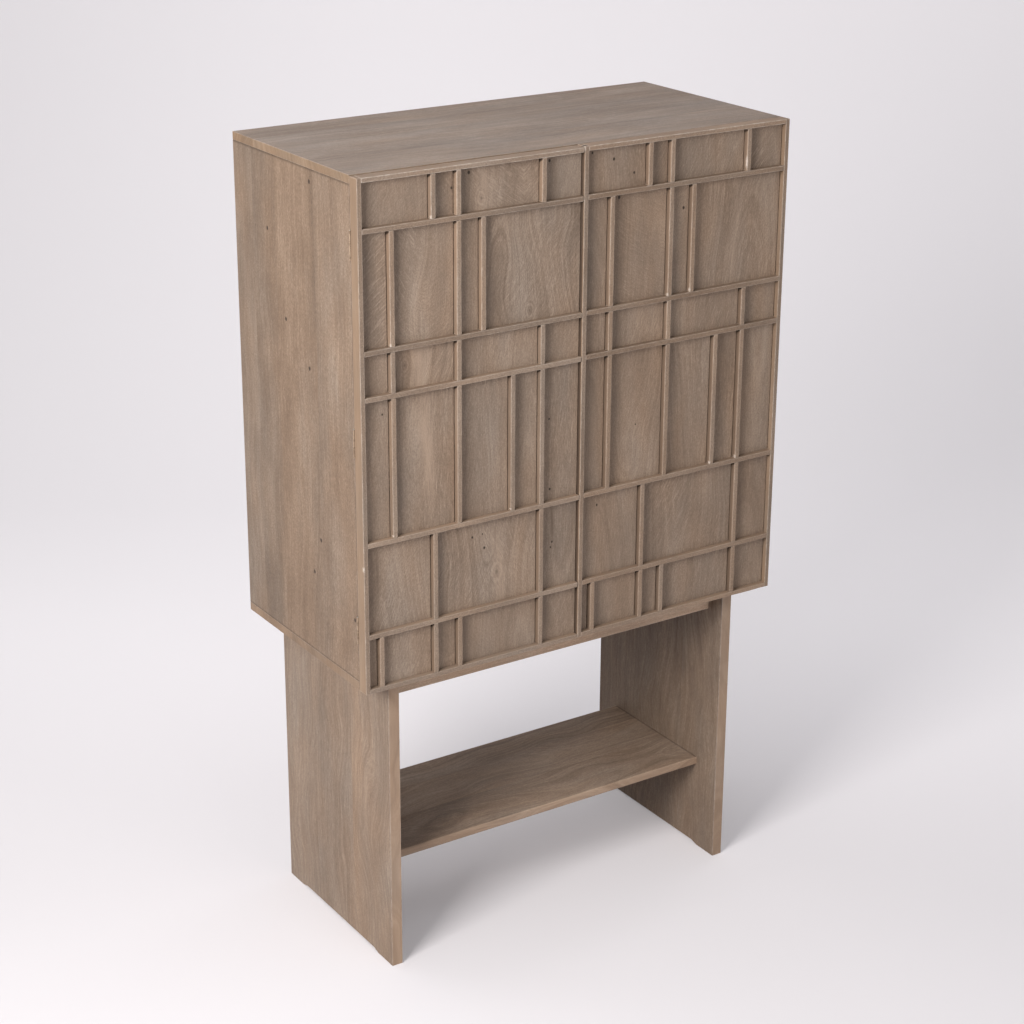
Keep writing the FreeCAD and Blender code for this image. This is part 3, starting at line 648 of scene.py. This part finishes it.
class Boards:
    """Collects boards into one mesh, with each board's facts on its vertices."""

    def __init__(self, name):
        self.name = name
        self.points = []
        self.faces = []
        self.facts = {key: [] for key in BOARD_FACTS}

    def add(self, low, high, order, seed, step=0.006, ease=0.0007, wobble=0.0003, places=None, **changes):
        """A board with eased, slightly uneven arrises; order names its along, across and depth axes.

        Marks in places are given in the model's frame and are moved to the board's own."""
        low, high = Vector(low), Vector(high)
        centre = (low + high) / 2
        axes = axes_of(order)
        half = [(high - low)[a] / 2 for a in axes]
        values = dict(PLAIN_BOARD, seed=seed, half=half)
        values.update(changes)
        for key, (along, across, amount) in (places or {}).items():
            values[key] = (along - centre[axes[0]], across - centre[axes[1]], amount)
        shoulder = min(SHOULDER, half[1] / 2, half[2] / 2)
        ease = min(ease, half[1] / 3, half[2] / 3)
        section = cross_section(half[1], half[2], shoulder, ease)
        row = stations(half[0], step, ease)
        first = len(self.points)
        for number, along in enumerate(row):
            at_end = number in (0, len(row) - 1)
            for v, w, side_v, side_w in section:
                where = Vector((along * RUB_ALONG + seed[0], side_v * RUB_PER_SIDE + seed[1],
                                side_w * RUB_PER_SIDE + seed[2]))
                rub = max(0.0, noise.noise(where) + RUB_MEAN) * wobble
                at_v = abs(v) > half[1] - shoulder * NEAR_ARRIS
                at_w = abs(w) > half[2] - shoulder * NEAR_ARRIS
                pull = rub if at_v and at_w else rub * FLAT_RUB
                if at_end:
                    pull += ease
                place = [along, v - side_v * pull, w - side_w * pull]
                point = Vector(centre)
                for a, value in zip(axes, place):
                    point[a] = centre[a] + value
                self.points.append(point)
                self.facts["pos"].append(place)
        around = len(section)
        for ring in range(len(row) - 1):
            for k in range(around):
                a = first + ring * around + k
                b = first + ring * around + (k + 1) % around
                self.faces.append((a, b, b + around, a + around))
        self.faces.append(tuple(first + k for k in reversed(range(around))))
        last = first + (len(row) - 1) * around
        self.faces.append(tuple(last + k for k in range(around)))
        for key, value in values.items():
            self.facts[key] += [value] * (len(row) * around)

    def build(self, material, body, *nodes, slot):
        """Makes the mesh, which rides on a body and stands for some CAD nodes."""
        mesh = bpy.data.meshes.new(self.name)
        mesh.from_pydata(self.points, [], self.faces)
        for key, values in self.facts.items():
            attribute = mesh.attributes.new("board_" + key, "FLOAT_VECTOR", "POINT")
            attribute.data.foreach_set("vector", [float(c) for value in values for c in value])
        piece = bpy.data.objects.new(self.name, mesh)
        bpy.context.scene.collection.objects.link(piece)
        work = bmesh.new()
        work.from_mesh(mesh)
        bmesh.ops.recalc_face_normals(work, faces=work.faces)
        work.to_mesh(mesh)
        work.free()
        for polygon in mesh.polygons:
            polygon.use_smooth = False
        piece.data.materials.append(material)
        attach(piece, body)
        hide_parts(*nodes)


def dress(node, material):
    """Give a kept CAD node its material."""
    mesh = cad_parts[node].data
    for index in range(max(1, len(mesh.materials))):
        if index < len(mesh.materials):
            mesh.materials[index] = material
        else:
            mesh.materials.append(material)


dice = random.Random(41)


def draw_seed():
    return tuple(round(dice.uniform(-60, 60), 2) for _ in range(3))


def draw_pith(reach, depths, tilt, width=1.0):
    """A pith below the board's face: its v within reach times the width, its w, its tilt."""
    return dice.uniform(-reach, reach) * width, -dice.uniform(*depths), dice.uniform(-tilt, tilt)


# ==================== doors
# Cells of field boards, row by row from the top: slant of the brushed strokes in degrees, their strength,
# ring figure, tone, warmth.
CELLS = {
    "left": {
        "A1": (42, 0.4, 0.2, 1.03, 0.55), "A2": (-35, 0.35, 0.2, 0.96, 0.45),
        "A3": (48, 0.6, 0.4, 1.0, 0.5), "A4": (20, 0.3, 0.2, 1.0, 0.45), "B1": (52, 0.8, 0.25, 0.98, 0.5),
        "B2": (42, 0.6, 0.5, 1.03, 0.55), "B3": (0, 0.3, 0.2, 0.97, 0.5),
        "B4": (27, 0.45, 1.0, 0.99, 0.5), "C1": (40, 0.3, 0.2, 0.98, 0.45),
        "C2": (20, 0.35, 0.9, 1.03, 0.7), "C3": (12, 0.4, 0.3, 1.0, 0.5),
        "C4": (35, 0.3, 0.2, 0.98, 0.45), "D1": (10, 0.4, 0.2, 0.98, 0.45), "D2": (0, 0.6, 0.4, 1.0, 0.6),
        "D3": (8, 0.4, 0.4, 1.0, 0.55), "D4": (0, 0.3, 0.2, 0.98, 0.5), "D5": (0, 0.5, 0.3, 0.99, 0.55),
        "E1": (30, 0.6, 0.5, 0.98, 0.5), "E2": (-20, 0.5, 0.8, 0.98, 0.5), "E3": (0, 0.5, 0.3, 0.97, 0.5),
        "F1": (0, 0.3, 0.2, 0.95, 0.5), "F2": (15, 0.4, 0.3, 0.99, 0.5), "F3": (0, 0.4, 0.4, 0.97, 0.5),
        "F4": (0, 0.3, 0.2, 0.96, 0.5), "F5": (20, 0.4, 0.2, 0.97, 0.5),
    },
    "right": {
        "A1": (0, 0.4, 0.3, 0.99, 0.55), "A2": (30, 0.4, 0.2, 0.97, 0.5), "A3": (25, 0.4, 0.3, 0.97, 0.5),
        "A4": (38, 1.3, 0.2, 0.98, 0.45), "B1": (0, 0.5, 0.3, 0.98, 0.45),
        "B2": (-58, 0.45, 0.4, 1.0, 0.6), "B3": (45, 0.5, 0.2, 0.97, 0.45),
        "B4": (12, 0.5, 0.5, 0.99, 0.55), "C1": (0, 0.4, 0.2, 0.97, 0.5), "C2": (20, 0.4, 0.3, 0.98, 0.5),
        "C3": (15, 0.4, 0.3, 0.97, 0.5), "C4": (-30, 0.4, 0.2, 0.96, 0.5), "D1": (0, 0.5, 0.2, 0.97, 0.5),
        "D2": (10, 0.4, 0.5, 0.99, 0.6), "D3": (0, 0.5, 0.4, 0.98, 0.55), "D4": (0, 0.5, 0.3, 0.97, 0.6),
        "D5": (10, 0.4, 0.3, 0.97, 0.55), "E1": (0, 0.4, 0.4, 0.99, 0.5), "E2": (24, 0.5, 0.5, 0.97, 0.5),
        "E3": (0, 0.4, 0.3, 0.96, 0.5), "F1": (0, 0.3, 0.2, 0.92, 0.4), "F2": (20, 0.4, 0.3, 0.98, 0.5),
        "F3": (0, 0.3, 0.2, 0.97, 0.5), "F4": (15, 0.4, 0.4, 0.97, 0.5), "F5": (0, 0.4, 0.2, 0.96, 0.5),
    },
}
# Where a cell's strokes fold, in cabinet millimetres from the left.
FOLDS = {
    "left": {"A3": 326, "B2": 138, "C2": 126, "E2": 256},
    "right": {},
}
# A cell's marks at (x, z) in cabinet millimetres. The third number is the radius of a knot or pin in
# millimetres, or the strength of a streak, which is dark below 0.
MARKS = {
    "left": {
        "A2": {"pin_a": (185, 1464, 2.2)},
        "A3": {"knot": (244, 1439, 3.6), "pin_a": (219, 1486, 2.8), "streak": (254, 1434, 0.35)},
        "A4": {"pin_a": (381, 1487, 2.4)},
        "B4": {"knot": (343, 1229, 3.6)},
        "C2": {"knot": (91, 1172, 3.5), "streak": (138, 1158, 0.7)},
        "D1": {"pin_a": (46, 1093, 1.8)},
        "D2": {"streak": (140, 1015, 0.9)},
        "D5": {"pin_a": (386, 1023, 1.8), "pin_b": (389, 890, 2.2)},
        "E1": {"streak": (38, 815, -0.6)},
        "E2": {"pin_a": (225, 832, 2.0), "pin_b": (246, 834, 1.4), "pin_c": (250, 807, 2.3),
               "knot": (276, 755, 5.5), "streak": (284, 742, 0.6)},
        "E3": {"pin_a": (395, 787, 2.0), "pin_b": (392, 777, 1.8), "streak": (391, 822, -1.0)},
    },
    "right": {
        "A1": {"pin_a": (516, 1474, 2.6), "pin_b": (470, 1490, 2.0), "pin_c": (560, 1445, 2.2)},
        "B2": {"pin_a": (529, 1405, 3.0)},
        "B3": {"pin_a": (671, 1368, 2.6)},
        "B4": {"streak": (788, 1297, 0.3)},
        "D2": {"pin_a": (576, 978, 1.5)},
        "E1": {"pin_a": (493, 838, 2.0)},
    },
}
# The left door is a little lighter than the right: painted light from the lamp at the left.
DOOR_LIGHT_TONE = {"left": 1.035, "right": 1.0}
DOOR_WARMTH = {"left": -0.05, "right": 0.12}
STRIP_WARMTH = {"left": 0.05, "right": 0.40}
# Painted shade on the strips' side faces towards the field boards, heavier on the right door.
SIDE_SHADE = {"left": 0.15, "right": 0.4}
# Tone of each lattice rail, from the top one down.
RAIL_TONES = {"left": (0.86, 0.80, 0.94, 1.01, 0.94), "right": (0.83, 0.81, 0.81, 0.97, 0.94)}
# Pale chips low on a strip's left face: the strip's x, the chip's z and its half length, in cabinet mm.
CHIPS = ((139, 1421, 4.0), (60, 1214, 3.5), (803, 1436, 12.0), (636, 1215, 3.5), (683, 1217, 4.0),
         (683, 874, 2.0), (743, 873, 3.5), (805, 873, 4.5), (60, 873, 1.4), (300, 873, 1.4))
CHIP_SLACK = (0.002, 0.01)  # metres that a chip may lie left of its strip or below it
CHIP_RISE = 0.003  # metres that a chip is above its strip's lower end at least
LEFT_FACE = -1.0
CABINET_HALF_WIDTH = 0.45
MM = 0.001
LATTICE_LOW = 0.65  # metres, lower end of the lattice
LATTICE_HEIGHT = 0.85
LOW_STRIP = (0.74, 0.45)  # painted light on a strip's side faces, and its wear, at the lattice's foot
RISE_TO_TOP = (0.33, 0.55)  # what both gain up to the top
# painted light on a rail's side faces
RAIL_EDGE_TONE = 1.05
TOP_RAIL_WEAR = 1.6
FIELD_SHAPE = {"step": 0.05, "ease": 0.0004, "wobble": 0.0}
STRIP_FIGURE = 0.1  # ring figure
STRIP_TONES = (0.98, 1.03)  # a strip's tone and warmth lie between such limits
STRIP_WARMTHS = (0.35, 0.55)
STRIP_WOOD = {"speckle": 0.16, "rings": 0.4, "strokes": 0.0}
CORE_JOINTS = (-0.08, 0.07)  # metres
CORE_LOOK = (0.72, 0.5, 0.4)
STILE_LOOK = (0.92, 0.5, STRIP_FIGURE)
STILE_WEAR = 0.8
MEETING_SHADE = 0.85  # painted shade on the side faces of the stile in the middle of the cabinet
STILE_CHIP_Z = 0.823  # metres, on the left door's stile
STILE_CHIP_SIZE = 0.005
END_CHIP_SIZE = 0.006  # at the upper end of the meeting stile
END_CHIP_DROP = 0.002

# Field boards carry a painted shadow along their left edge.
field_wood = wood("field_wood", board_source, wear=0.0, pool=0.45)
# Strips carry a painted shadow under each rail.
strip_wood = wood("strip_wood", board_source, face_lift=1.02, edge_lift=0.93, rail_shadow=0.9, **STRIP_WOOD)
inner_wood = wood("inner_wood", board_source, wear=0.3)


def cabinet_place(x, z, amount, scale=MM):
    """(along, across, amount) in the model's frame from cabinet millimetres."""
    return z / 1000, x / 1000 - CABINET_HALF_WIDTH, amount * scale


def muntin_edge(side, height):
    """Painted light on a strip's side faces, painted shade on them towards the field boards, and its wear.
    """
    level = (height - LATTICE_LOW) / LATTICE_HEIGHT
    return LOW_STRIP[0] + RISE_TO_TOP[0] * level, SIDE_SHADE[side], LOW_STRIP[1] + RISE_TO_TOP[1] * level


def muntin_chip(low, high):
    """The chip on an upright strip with these corners, if it has one."""
    chip = NOTHING
    for mark in CHIPS:
        along, across, size = cabinet_place(*mark)
        if low[0] - CHIP_SLACK[0] < across < high[0] and low[2] - CHIP_SLACK[1] < along < high[2]:
            chip = (max(along, low[2] + CHIP_RISE) - (low[2] + high[2]) / 2, size, LEFT_FACE)
    return chip


for side in ("left", "right"):
    door = side + "_door"
    fields = Boards(door + "_fields")
    for (cell, values), (low, high) in zip(CELLS[side].items(), solids(door + "_field_boards")):
        slant, strength, figure, tone, warmth = values
        fold = FOLDS[side].get(cell)
        centre = (high[0] + low[0]) / 2
        fold_at = NO_FOLD if fold is None else fold / 1000 - CABINET_HALF_WIDTH - centre
        places = {key: cabinet_place(*mark, scale=1.0 if key == "streak" else MM)
                  for key, mark in MARKS[side].get(cell, {}).items()}
        pith = draw_pith(0.5, (0.012, 0.05), 0.2, high[0] - low[0])
        look = (tone * DOOR_LIGHT_TONE[side], warmth + DOOR_WARMTH[side], figure)
        fields.add(low, high, "zxy", draw_seed(), places=places, look=look, pith=pith,
                   flow=(math.radians(slant), strength, fold_at), **FIELD_SHAPE)
    fields.build(field_wood, door, door + "_field_boards", slot="door_wood")

    strips = Boards(door + "_lattice")
    lattice = [(door + "_lattice_rails", "xzy"), (door + "_muntins", "zxy"),
               (door + "_top_rail", "xzy"), (door + "_bottom_rail", "xzy")]
    for node, order in lattice:
        for number, (low, high) in enumerate(solids(node)):
            pith = draw_pith(0.1, (0.05, 0.2), 0.05)
            edge = muntin_edge(side, (low[2] + high[2]) / 2)
            chip = muntin_chip(low, high)
            if order == "xzy":
                edge = (RAIL_EDGE_TONE, 0.0, TOP_RAIL_WEAR if node.endswith("top_rail") else edge[2])
                chip = NOTHING
            rail_tone = RAIL_TONES[side][number] if node.endswith("lattice_rails") else 1.0
            seed = draw_seed()
            look = (dice.uniform(*STRIP_TONES) * DOOR_LIGHT_TONE[side] * rail_tone,
                    dice.uniform(*STRIP_WARMTHS) + STRIP_WARMTH[side], STRIP_FIGURE)
            strips.add(low, high, order, seed, look=look, pith=pith, chip=chip, edge=edge)
    strips.build(strip_wood, door, *(node for node, order in lattice), slot="lattice_wood")

    source = solid_source(door + "_core", "zxy", draw_seed(), look=CORE_LOOK)
    dress(door + "_core", wood(door + "_core_wood", source, joints=CORE_JOINTS, wear=0.0))

for node in ("left_door_stile", "right_door_meeting_stile", "right_door_hinge_stile"):
    shade = MEETING_SHADE if "meeting" in node else 0.0
    low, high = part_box(node)
    centre_z = (low.z + high.z) / 2
    half_z = (high.z - low.z) / 2
    chips = {"left_door_stile": (STILE_CHIP_Z - centre_z, STILE_CHIP_SIZE, LEFT_FACE),
             "right_door_meeting_stile": (half_z - END_CHIP_DROP, END_CHIP_SIZE, LEFT_FACE)}
    source = solid_source(node, "zxy", draw_seed(), look=STILE_LOOK, edge=(1.0, shade, STILE_WEAR),
                          chip=chips.get(node, NOTHING))
    dress(node, wood(node + "_wood", source, edge_lift=0.98, edge_tint=(1.0, 0.985, 0.95), **STRIP_WOOD))

# ==================== carcass and stand
PIN_RADIUS = 0.0034
PANEL_FRONT = -0.2215  # y at which the side panel's marks start
# Pin knots of the left side panel, in millimetres from its front and from the floor.
PANEL_PINS = ((162, 1468), (320, 1356), (260, 1206), (178, 1137), (35, 717), (152, 827), (179, 758))
PINS = {"left_side_panel": [(z / 1000, y / 1000 + PANEL_FRONT, PIN_RADIUS) for y, z in PANEL_PINS]}
# A painted sheen: the top slab's face is tinted grey, as by a reflection of pale surroundings.
TOP_SHEEN_TINT = (0.97, 1.015, 1.09)
# Soft bands across a panel: (across in metres, tone change, warmth change).
SIDE_BANDS = ((-0.20, 0.0, 0.1), (-0.12, 0.02, 0.0), (-0.07, -0.03, -0.1), (-0.02, 0.03, 0.05),
              (0.05, 0.02, 0.45), (0.09, -0.04, 0.05), (0.14, -0.03, -0.1), (0.20, 0.01, -0.2))
LEG_BANDS = ((-0.17, 0.0, 0.0), (-0.13, 0.03, 0.1), (-0.08, 0.07, 0.35), (-0.04, -0.05, 0.0),
             (0.06, -0.06, -0.05), (0.15, 0.02, -0.2))
# The side panels carry painted shade where they meet the slabs.
SIDE_WOOD = {"bands": SIDE_BANDS, "speckle": 0.30, "blotch": 0.26, "wear": 0.15, "ends": False,
             "contact_shade": 0.5}
LEG_WOOD = {"blotch": 0.20, "wear": 0.35, "ends": False}
# Node, axes, plank joints, tone, warmth, ring figure, edge lift, and what else its wood has.
PANELS = (
    ("left_side_panel", "zyx", (-0.085, 0.055, 0.14), 0.79, 0.85, 0.5, 1.0, SIDE_WOOD),
    ("right_side_panel", "zyx", (-0.1, 0.03, 0.12), 0.92, 0.70, 0.5, 1.0, SIDE_WOOD),
    ("top_slab", "xyz", (-0.09, 0.04, 0.13), 1.045, 0.45, 0.55, 0.80,
     {"tint": TOP_SHEEN_TINT, "edge_tint": (1.0, 0.96, 0.88), "wear": 0.12, "blotch": 0.15}),
    ("bottom_slab", "xyz", (-0.09, 0.04, 0.13), 0.95, 0.55, 0.3, 0.85,
     {"edge_tint": (1.0, 0.98, 0.95), "wear": 0.1}),
    ("left_leg_panel", "zyx", (-0.06, 0.08), 0.95, 0.60, 0.8, 1.33,
     {"bands": LEG_BANDS, "contrast": 0.75, **LEG_WOOD}),
    # The right leg's inner face is darker towards the top: painted shade under the cabinet, broken up by a
    # mottle.
    ("right_leg_panel", "zyx", (-0.08, 0.06), 0.79, 0.65, 0.8, 1.5,
     {"mottled_shade": (-0.05, 0.26, 0.55, -1.0), "contrast": 0.8, **LEG_WOOD}),
    # The lower shelf carries painted shade where its ends meet the legs.
    ("lower_shelf", "xyz", (-0.03, 0.07), 0.98, 0.52, 0.9, 1.20,
     {"contact_shade": 0.6, "blotch": 0.25, "ends": False}),
    ("front_apron", "xzy", (), 1.65, 0.90, 0.2, 1.1, {}),
    ("rear_apron", "xzy", (), 1.0, 0.5, 0.2, 1.1, {}),
    ("centre_divider", "zyx", (-0.09, 0.05), 1.0, 0.5, 0.4, 1.1, {}),
    ("left_mid_shelf", "xyz", (-0.05, 0.08), 1.0, 0.45, 0.4, 1.1, {}),
    ("serving_shelf", "xyz", (-0.06, 0.07), 1.0, 0.55, 0.4, 1.1, {}),
    ("adjustable_shelf", "xyz", (-0.04, 0.09), 1.0, 0.5, 0.4, 1.1, {}),
    ("fold_out_leaf", "xyz", (-0.05, 0.06), 1.02, 0.5, 0.4, 1.1, {}),
    ("back_panel", "zxy", (-0.2, 0.1), 0.96, 0.5, 0.5, 1.1, {}),
)
INNER_STEP = 0.03  # metres between a cubby board's cross sections
INNER_TONES = (0.95, 1.03)
INNER_WARMTH = 0.5
INNER_FIGURE = 0.3

for node, order, joints, tone, warmth, figure, edge_lift, more in PANELS:
    low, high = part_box(node)
    width = (high - low)[axes_of(order)[1]]
    pith = draw_pith(0.3, (0.02, 0.06), 0.06, width)
    look = (tone, warmth, figure)
    source = solid_source(node, order, draw_seed(), PINS.get(node, ()), look=look, pith=pith)
    dress(node, wood(node + "_wood", source, joints=joints, edge_lift=edge_lift, **more))

for node, order in (("cubby_shelves", "xyz"), ("cubby_dividers", "zyx"), ("stemware_battens", "yxz"),
                    ("stemware_lips", "yxz")):
    boards = Boards(node + "_boards")
    for low, high in solids(node):
        seed = draw_seed()
        look = (dice.uniform(*INNER_TONES), INNER_WARMTH, INNER_FIGURE)
        boards.add(low, high, order, seed, step=INNER_STEP, look=look)
    boards.build(inner_wood, "cabinet", node, slot="interior_wood")


# ==================== metal, rubber and plastic
BRUSH_WAVES = (900.0, 900.0, 900.0 * 0.08)  # per metre
TARNISH_WAVES = (130.0, 130.0, 130.0)
TARNISH = (0.42, 0.66)
METAL_BUMP = (0.15, 0.0001)  # strength, metres
PLAIN_SPOTS = (0.3, 0.7)
PLAIN_SHADE = 0.8
PLAIN_BUMP = (0.2, 0.0002)
GRAIN_NOISE = (3.0, 0.6)  # detail, roughness
NOISE_ROUGHNESS = 0.15  # what a noise adds to the roughness
TARNISH_ROUGHNESS = 0.2


def metal(name, colour, dull, roughness):
    """Aged metal: brushed, with dull tarnish in patches."""
    g = Graph(name)
    place = g.object_place()
    brushed = g.noise(g.vector("MULTIPLY", place, BRUSH_WAVES), 2.0)[0]
    patches = g.noise(g.vector("MULTIPLY", place, TARNISH_WAVES), *GRAIN_NOISE)[0]
    tarnish = g.spread(patches, *TARNISH)
    tint = g.mix(tarnish, colour, dull)
    rough = g.add(roughness, g.times(brushed, NOISE_ROUGHNESS), g.times(tarnish, TARNISH_ROUGHNESS))
    return g.finish(tint, rough, brushed, *METAL_BUMP, Metallic=1.0)


def plain(name, colour, roughness, waves):
    """Moulded or turned stuff with a fine grain of so many waves per metre."""
    g = Graph(name)
    fine = g.noise(g.vector("MULTIPLY", g.object_place(), (waves, waves, waves)), *GRAIN_NOISE)[0]
    shade = g.mix(g.spread(fine, *PLAIN_SPOTS), colour, tuple(c * PLAIN_SHADE for c in colour))
    return g.finish(shade, g.add(roughness, g.times(fine, NOISE_ROUGHNESS)), fine, *PLAIN_BUMP)


# Maker, the material's name, its colours, roughness and waves, and the nodes that have it.
FITTINGS = (
    (metal, ("hinge_steel", (0.40, 0.31, 0.23), (0.30, 0.225, 0.165), 0.5),
     ("left_hinge_case_leaves", "right_hinge_case_leaves", "left_hinge_door_leaves",
      "right_hinge_door_leaves", "fold_hinge_shelf_leaves", "fold_hinge_flap_leaves", "case_hinge_screws",
      "left_door_hinge_screws", "right_door_hinge_screws", "fold_hinge_shelf_screws",
      "fold_hinge_flap_screws", "stand_screws")),
    (metal, ("pin_steel", (0.50, 0.48, 0.44), (0.26, 0.24, 0.21), 0.28),
     ("left_hinge_pins", "right_hinge_pins", "fold_hinge_pins", "shelf_pins")),
    (metal, ("strike_steel", (0.55, 0.54, 0.52), (0.34, 0.33, 0.31), 0.3),
     ("left_door_strike_plate", "right_door_strike_plate", "catch_magnets")),
    (metal, ("pull_brass", (0.50, 0.37, 0.18), (0.20, 0.14, 0.075), 0.3), ("fold_shelf_pull",)),
    (plain, ("catch_plastic", (0.045, 0.036, 0.030), 0.45, 700.0), ("catch_housings",)),
    (plain, ("bumper_rubber", (0.05, 0.046, 0.042), 0.7, 900.0),
     ("left_door_bumpers", "right_door_bumpers")),
    (plain, ("dowel_wood", (0.52, 0.38, 0.24), 0.6, 500.0), ("carcass_dowels", "stand_dowels")),
)
for maker, settings, nodes in FITTINGS:
    material = maker(*settings)
    for node in nodes:
        dress(node, material)


# ==================== stage, light and camera
# In metres; depth is away from the camera, and 0 at the cabinet.
SWEEP_HALF_WIDTH = 16.0
SWEEP_FRONT = -14.0
SWEEP_BACK = 4.2
SWEEP_RADIUS = 2.2
SWEEP_TOP = 6.0
SWEEP_STEPS = 12  # of the quarter circle
PAPER = ((0.67, 0.645, 0.67), (0.645, 0.625, 0.645))
PAPER_WAVES = (0.5, 0.5, 0.5)  # per metre
PAPER_ROUGHNESS = 0.9
SLOPE = 0.5  # the left shade runs slanting over the floor
LEFT_SHADE = (-1.9, 0.3, 0.84, 1.0)
BACK_SHADE = (0.3, 2.5, 0.0, 0.08)  # over the depth
GLOW_COLOUR = (1.0, 0.965, 0.985, 1.0)
GLOW = (-0.3, 1.3, 0.15, 0.31)  # over the depth
FAR_GLOW = (3.2, 6.5, 0.0, 0.14)  # over the distance from the cabinet
FAR_END = (0.0, 1.5, 1.0, 0.0)  # over the depth
SKY_LIGHT = ((0.93, 0.92, 0.95, 1.0), 0.22)  # colour and strength of the light from all round
SEEN_SKY = (0.45, 0.435, 0.45, 1.0)  # what is seen past the sweep
SEEN_RAYS = ("Is Camera Ray", "Is Glossy Ray", "Is Transmission Ray")
# Name, place, target, size, power in watts, colour, and spread in degrees if it is not 180.
LAMPS = (
    ("key", (-3.1, -1.40, 2.35), (0.0, 0.0, 0.9), (1.4, 1.5), 158.0, (1.0, 0.975, 0.945)),
    ("top", (-0.6, -0.6, 4.2), (0.0, 0.0, 0.8), (3.5, 3.0), 45.0, (0.97, 0.985, 1.0)),
    ("front", (0.3, -4.6, 1.5), (0.0, 0.0, 0.6), (2.5, 1.6), 42.0, WHITE),
    ("back", (-1.5, 2.4, 3.4), (0.0, 0.0, 1.2), (2.5, 1.6), 26.0, WHITE),
    ("right", (3.8, 1.1, 1.9), (0.4, 0.1, 0.8), (1.6, 1.6), 3.5, WHITE, 75.0),
)


def seen_rays(tree):
    """One for rays that see the stage, and zero for rays that light the object."""
    rays = tree.nodes.new("ShaderNodeLightPath").outputs
    either = rays[SEEN_RAYS[0]]
    for kind in SEEN_RAYS[1:]:
        larger = tree.nodes.new("ShaderNodeMath")
        larger.operation = "MAXIMUM"
        tree.links.new(either, larger.inputs[0])
        tree.links.new(rays[kind], larger.inputs[1])
        either = larger.outputs[0]
    return either


def sweep_mesh(turn):
    """A strip of floor that curves up behind the object."""
    line = [(SWEEP_FRONT, 0.0), (SWEEP_BACK - SWEEP_RADIUS, 0.0)]
    for k in range(1, SWEEP_STEPS + 1):
        angle = math.radians(90.0 / SWEEP_STEPS * k)
        line.append((SWEEP_BACK - SWEEP_RADIUS + SWEEP_RADIUS * math.sin(angle),
                     SWEEP_RADIUS - SWEEP_RADIUS * math.cos(angle)))
    line.append((SWEEP_BACK, SWEEP_TOP))
    points = []
    for depth, height in line:
        for across in (-SWEEP_HALF_WIDTH, SWEEP_HALF_WIDTH):
            points.append((across * math.cos(turn) - depth * math.sin(turn),
                           across * math.sin(turn) + depth * math.cos(turn), height))
    faces = [(2 * i, 2 * i + 1, 2 * i + 3, 2 * i + 2) for i in range(len(line) - 1)]
    mesh = bpy.data.meshes.new("sweep")
    mesh.from_pydata(points, [], faces)
    for polygon in mesh.polygons:
        polygon.use_smooth = True
    return mesh


def paper(turn):
    """Pale paper that glows a little where it is seen."""
    g = Graph("paper")
    place = g.object_place()
    cloud = g.noise(g.vector("MULTIPLY", place, PAPER_WAVES), 2.0)[0]
    x, y, _ = g.split(place)
    depth = g.add(g.times(y, math.cos(turn)), g.times(x, -math.sin(turn)))
    shade = g.add(g.spread(g.minus(x, g.times(y, SLOPE)), *LEFT_SHADE),
                  g.spread(depth, *BACK_SHADE))
    g.finish(g.wash(g.mix(cloud, *PAPER), g.join(shade, shade, shade)), PAPER_ROUGHNESS)
    far_floor = g.times(g.spread(g.length(x, y), *FAR_GLOW), g.spread(depth, *FAR_END))
    strength = g.add(g.spread(depth, *GLOW), far_floor)
    glow = g.wire(g.node("ShaderNodeEmission"), GLOW_COLOUR, g.times(seen_rays(g.tree), strength))
    both = g.wire(g.node("ShaderNodeAddShader"), g.shader.outputs[0], glow)
    g.feed(g.output.inputs[0], both)
    return g.material


def sweep():
    """Pale seamless floor, square to the camera."""
    turn = math.radians(CAMERA_YAW)
    floor = bpy.data.objects.new("sweep", sweep_mesh(turn))
    bpy.context.scene.collection.objects.link(floor)
    floor.data.materials.append(paper(turn))


def lamp(name, place, target, size, power, colour, spread=180.0):
    data = bpy.data.lights.new(name, "AREA")
    data.shape = "RECTANGLE"
    data.size, data.size_y = size
    data.energy = power
    data.color = colour
    data.spread = math.radians(spread)
    piece = bpy.data.objects.new(name, data)
    piece.location = place
    piece.rotation_euler = (Vector(target) - Vector(place)).to_track_quat("-Z", "Y").to_euler()
    piece.visible_camera = False
    bpy.context.scene.collection.objects.link(piece)


def sky():
    """Even light from all round, and a darker sky where it is seen."""
    world = bpy.data.worlds.new("studio")
    world.use_nodes = True
    tree = world.node_tree
    light = tree.nodes["Background"]
    light.inputs[0].default_value, light.inputs[1].default_value = SKY_LIGHT
    seen = tree.nodes.new("ShaderNodeBackground")
    seen.inputs[0].default_value = SEEN_SKY
    choice = tree.nodes.new("ShaderNodeMixShader")
    tree.links.new(seen_rays(tree), choice.inputs[0])
    tree.links.new(light.outputs[0], choice.inputs[1])
    tree.links.new(seen.outputs[0], choice.inputs[2])
    tree.links.new(choice.outputs[0], tree.nodes["World Output"].inputs[0])
    bpy.context.scene.world = world


sweep()
for settings in LAMPS:
    lamp(*settings)
sky()

camera_data = bpy.data.cameras.new("camera")
camera_data.sensor_width = SENSOR_WIDTH
camera_data.lens = FOCAL_PIXELS / FRAME_PIXELS * SENSOR_WIDTH
camera_data.shift_x, camera_data.shift_y = CAMERA_SHIFT
camera = bpy.data.objects.new("camera", camera_data)
camera.location = CAMERA_PLACE
camera.rotation_euler = (math.radians(90.0 + CAMERA_PITCH), 0.0, math.radians(CAMERA_YAW))
bpy.context.scene.collection.objects.link(camera)
bpy.context.scene.camera = camera
bpy.context.scene.view_settings.view_transform = "Standard"
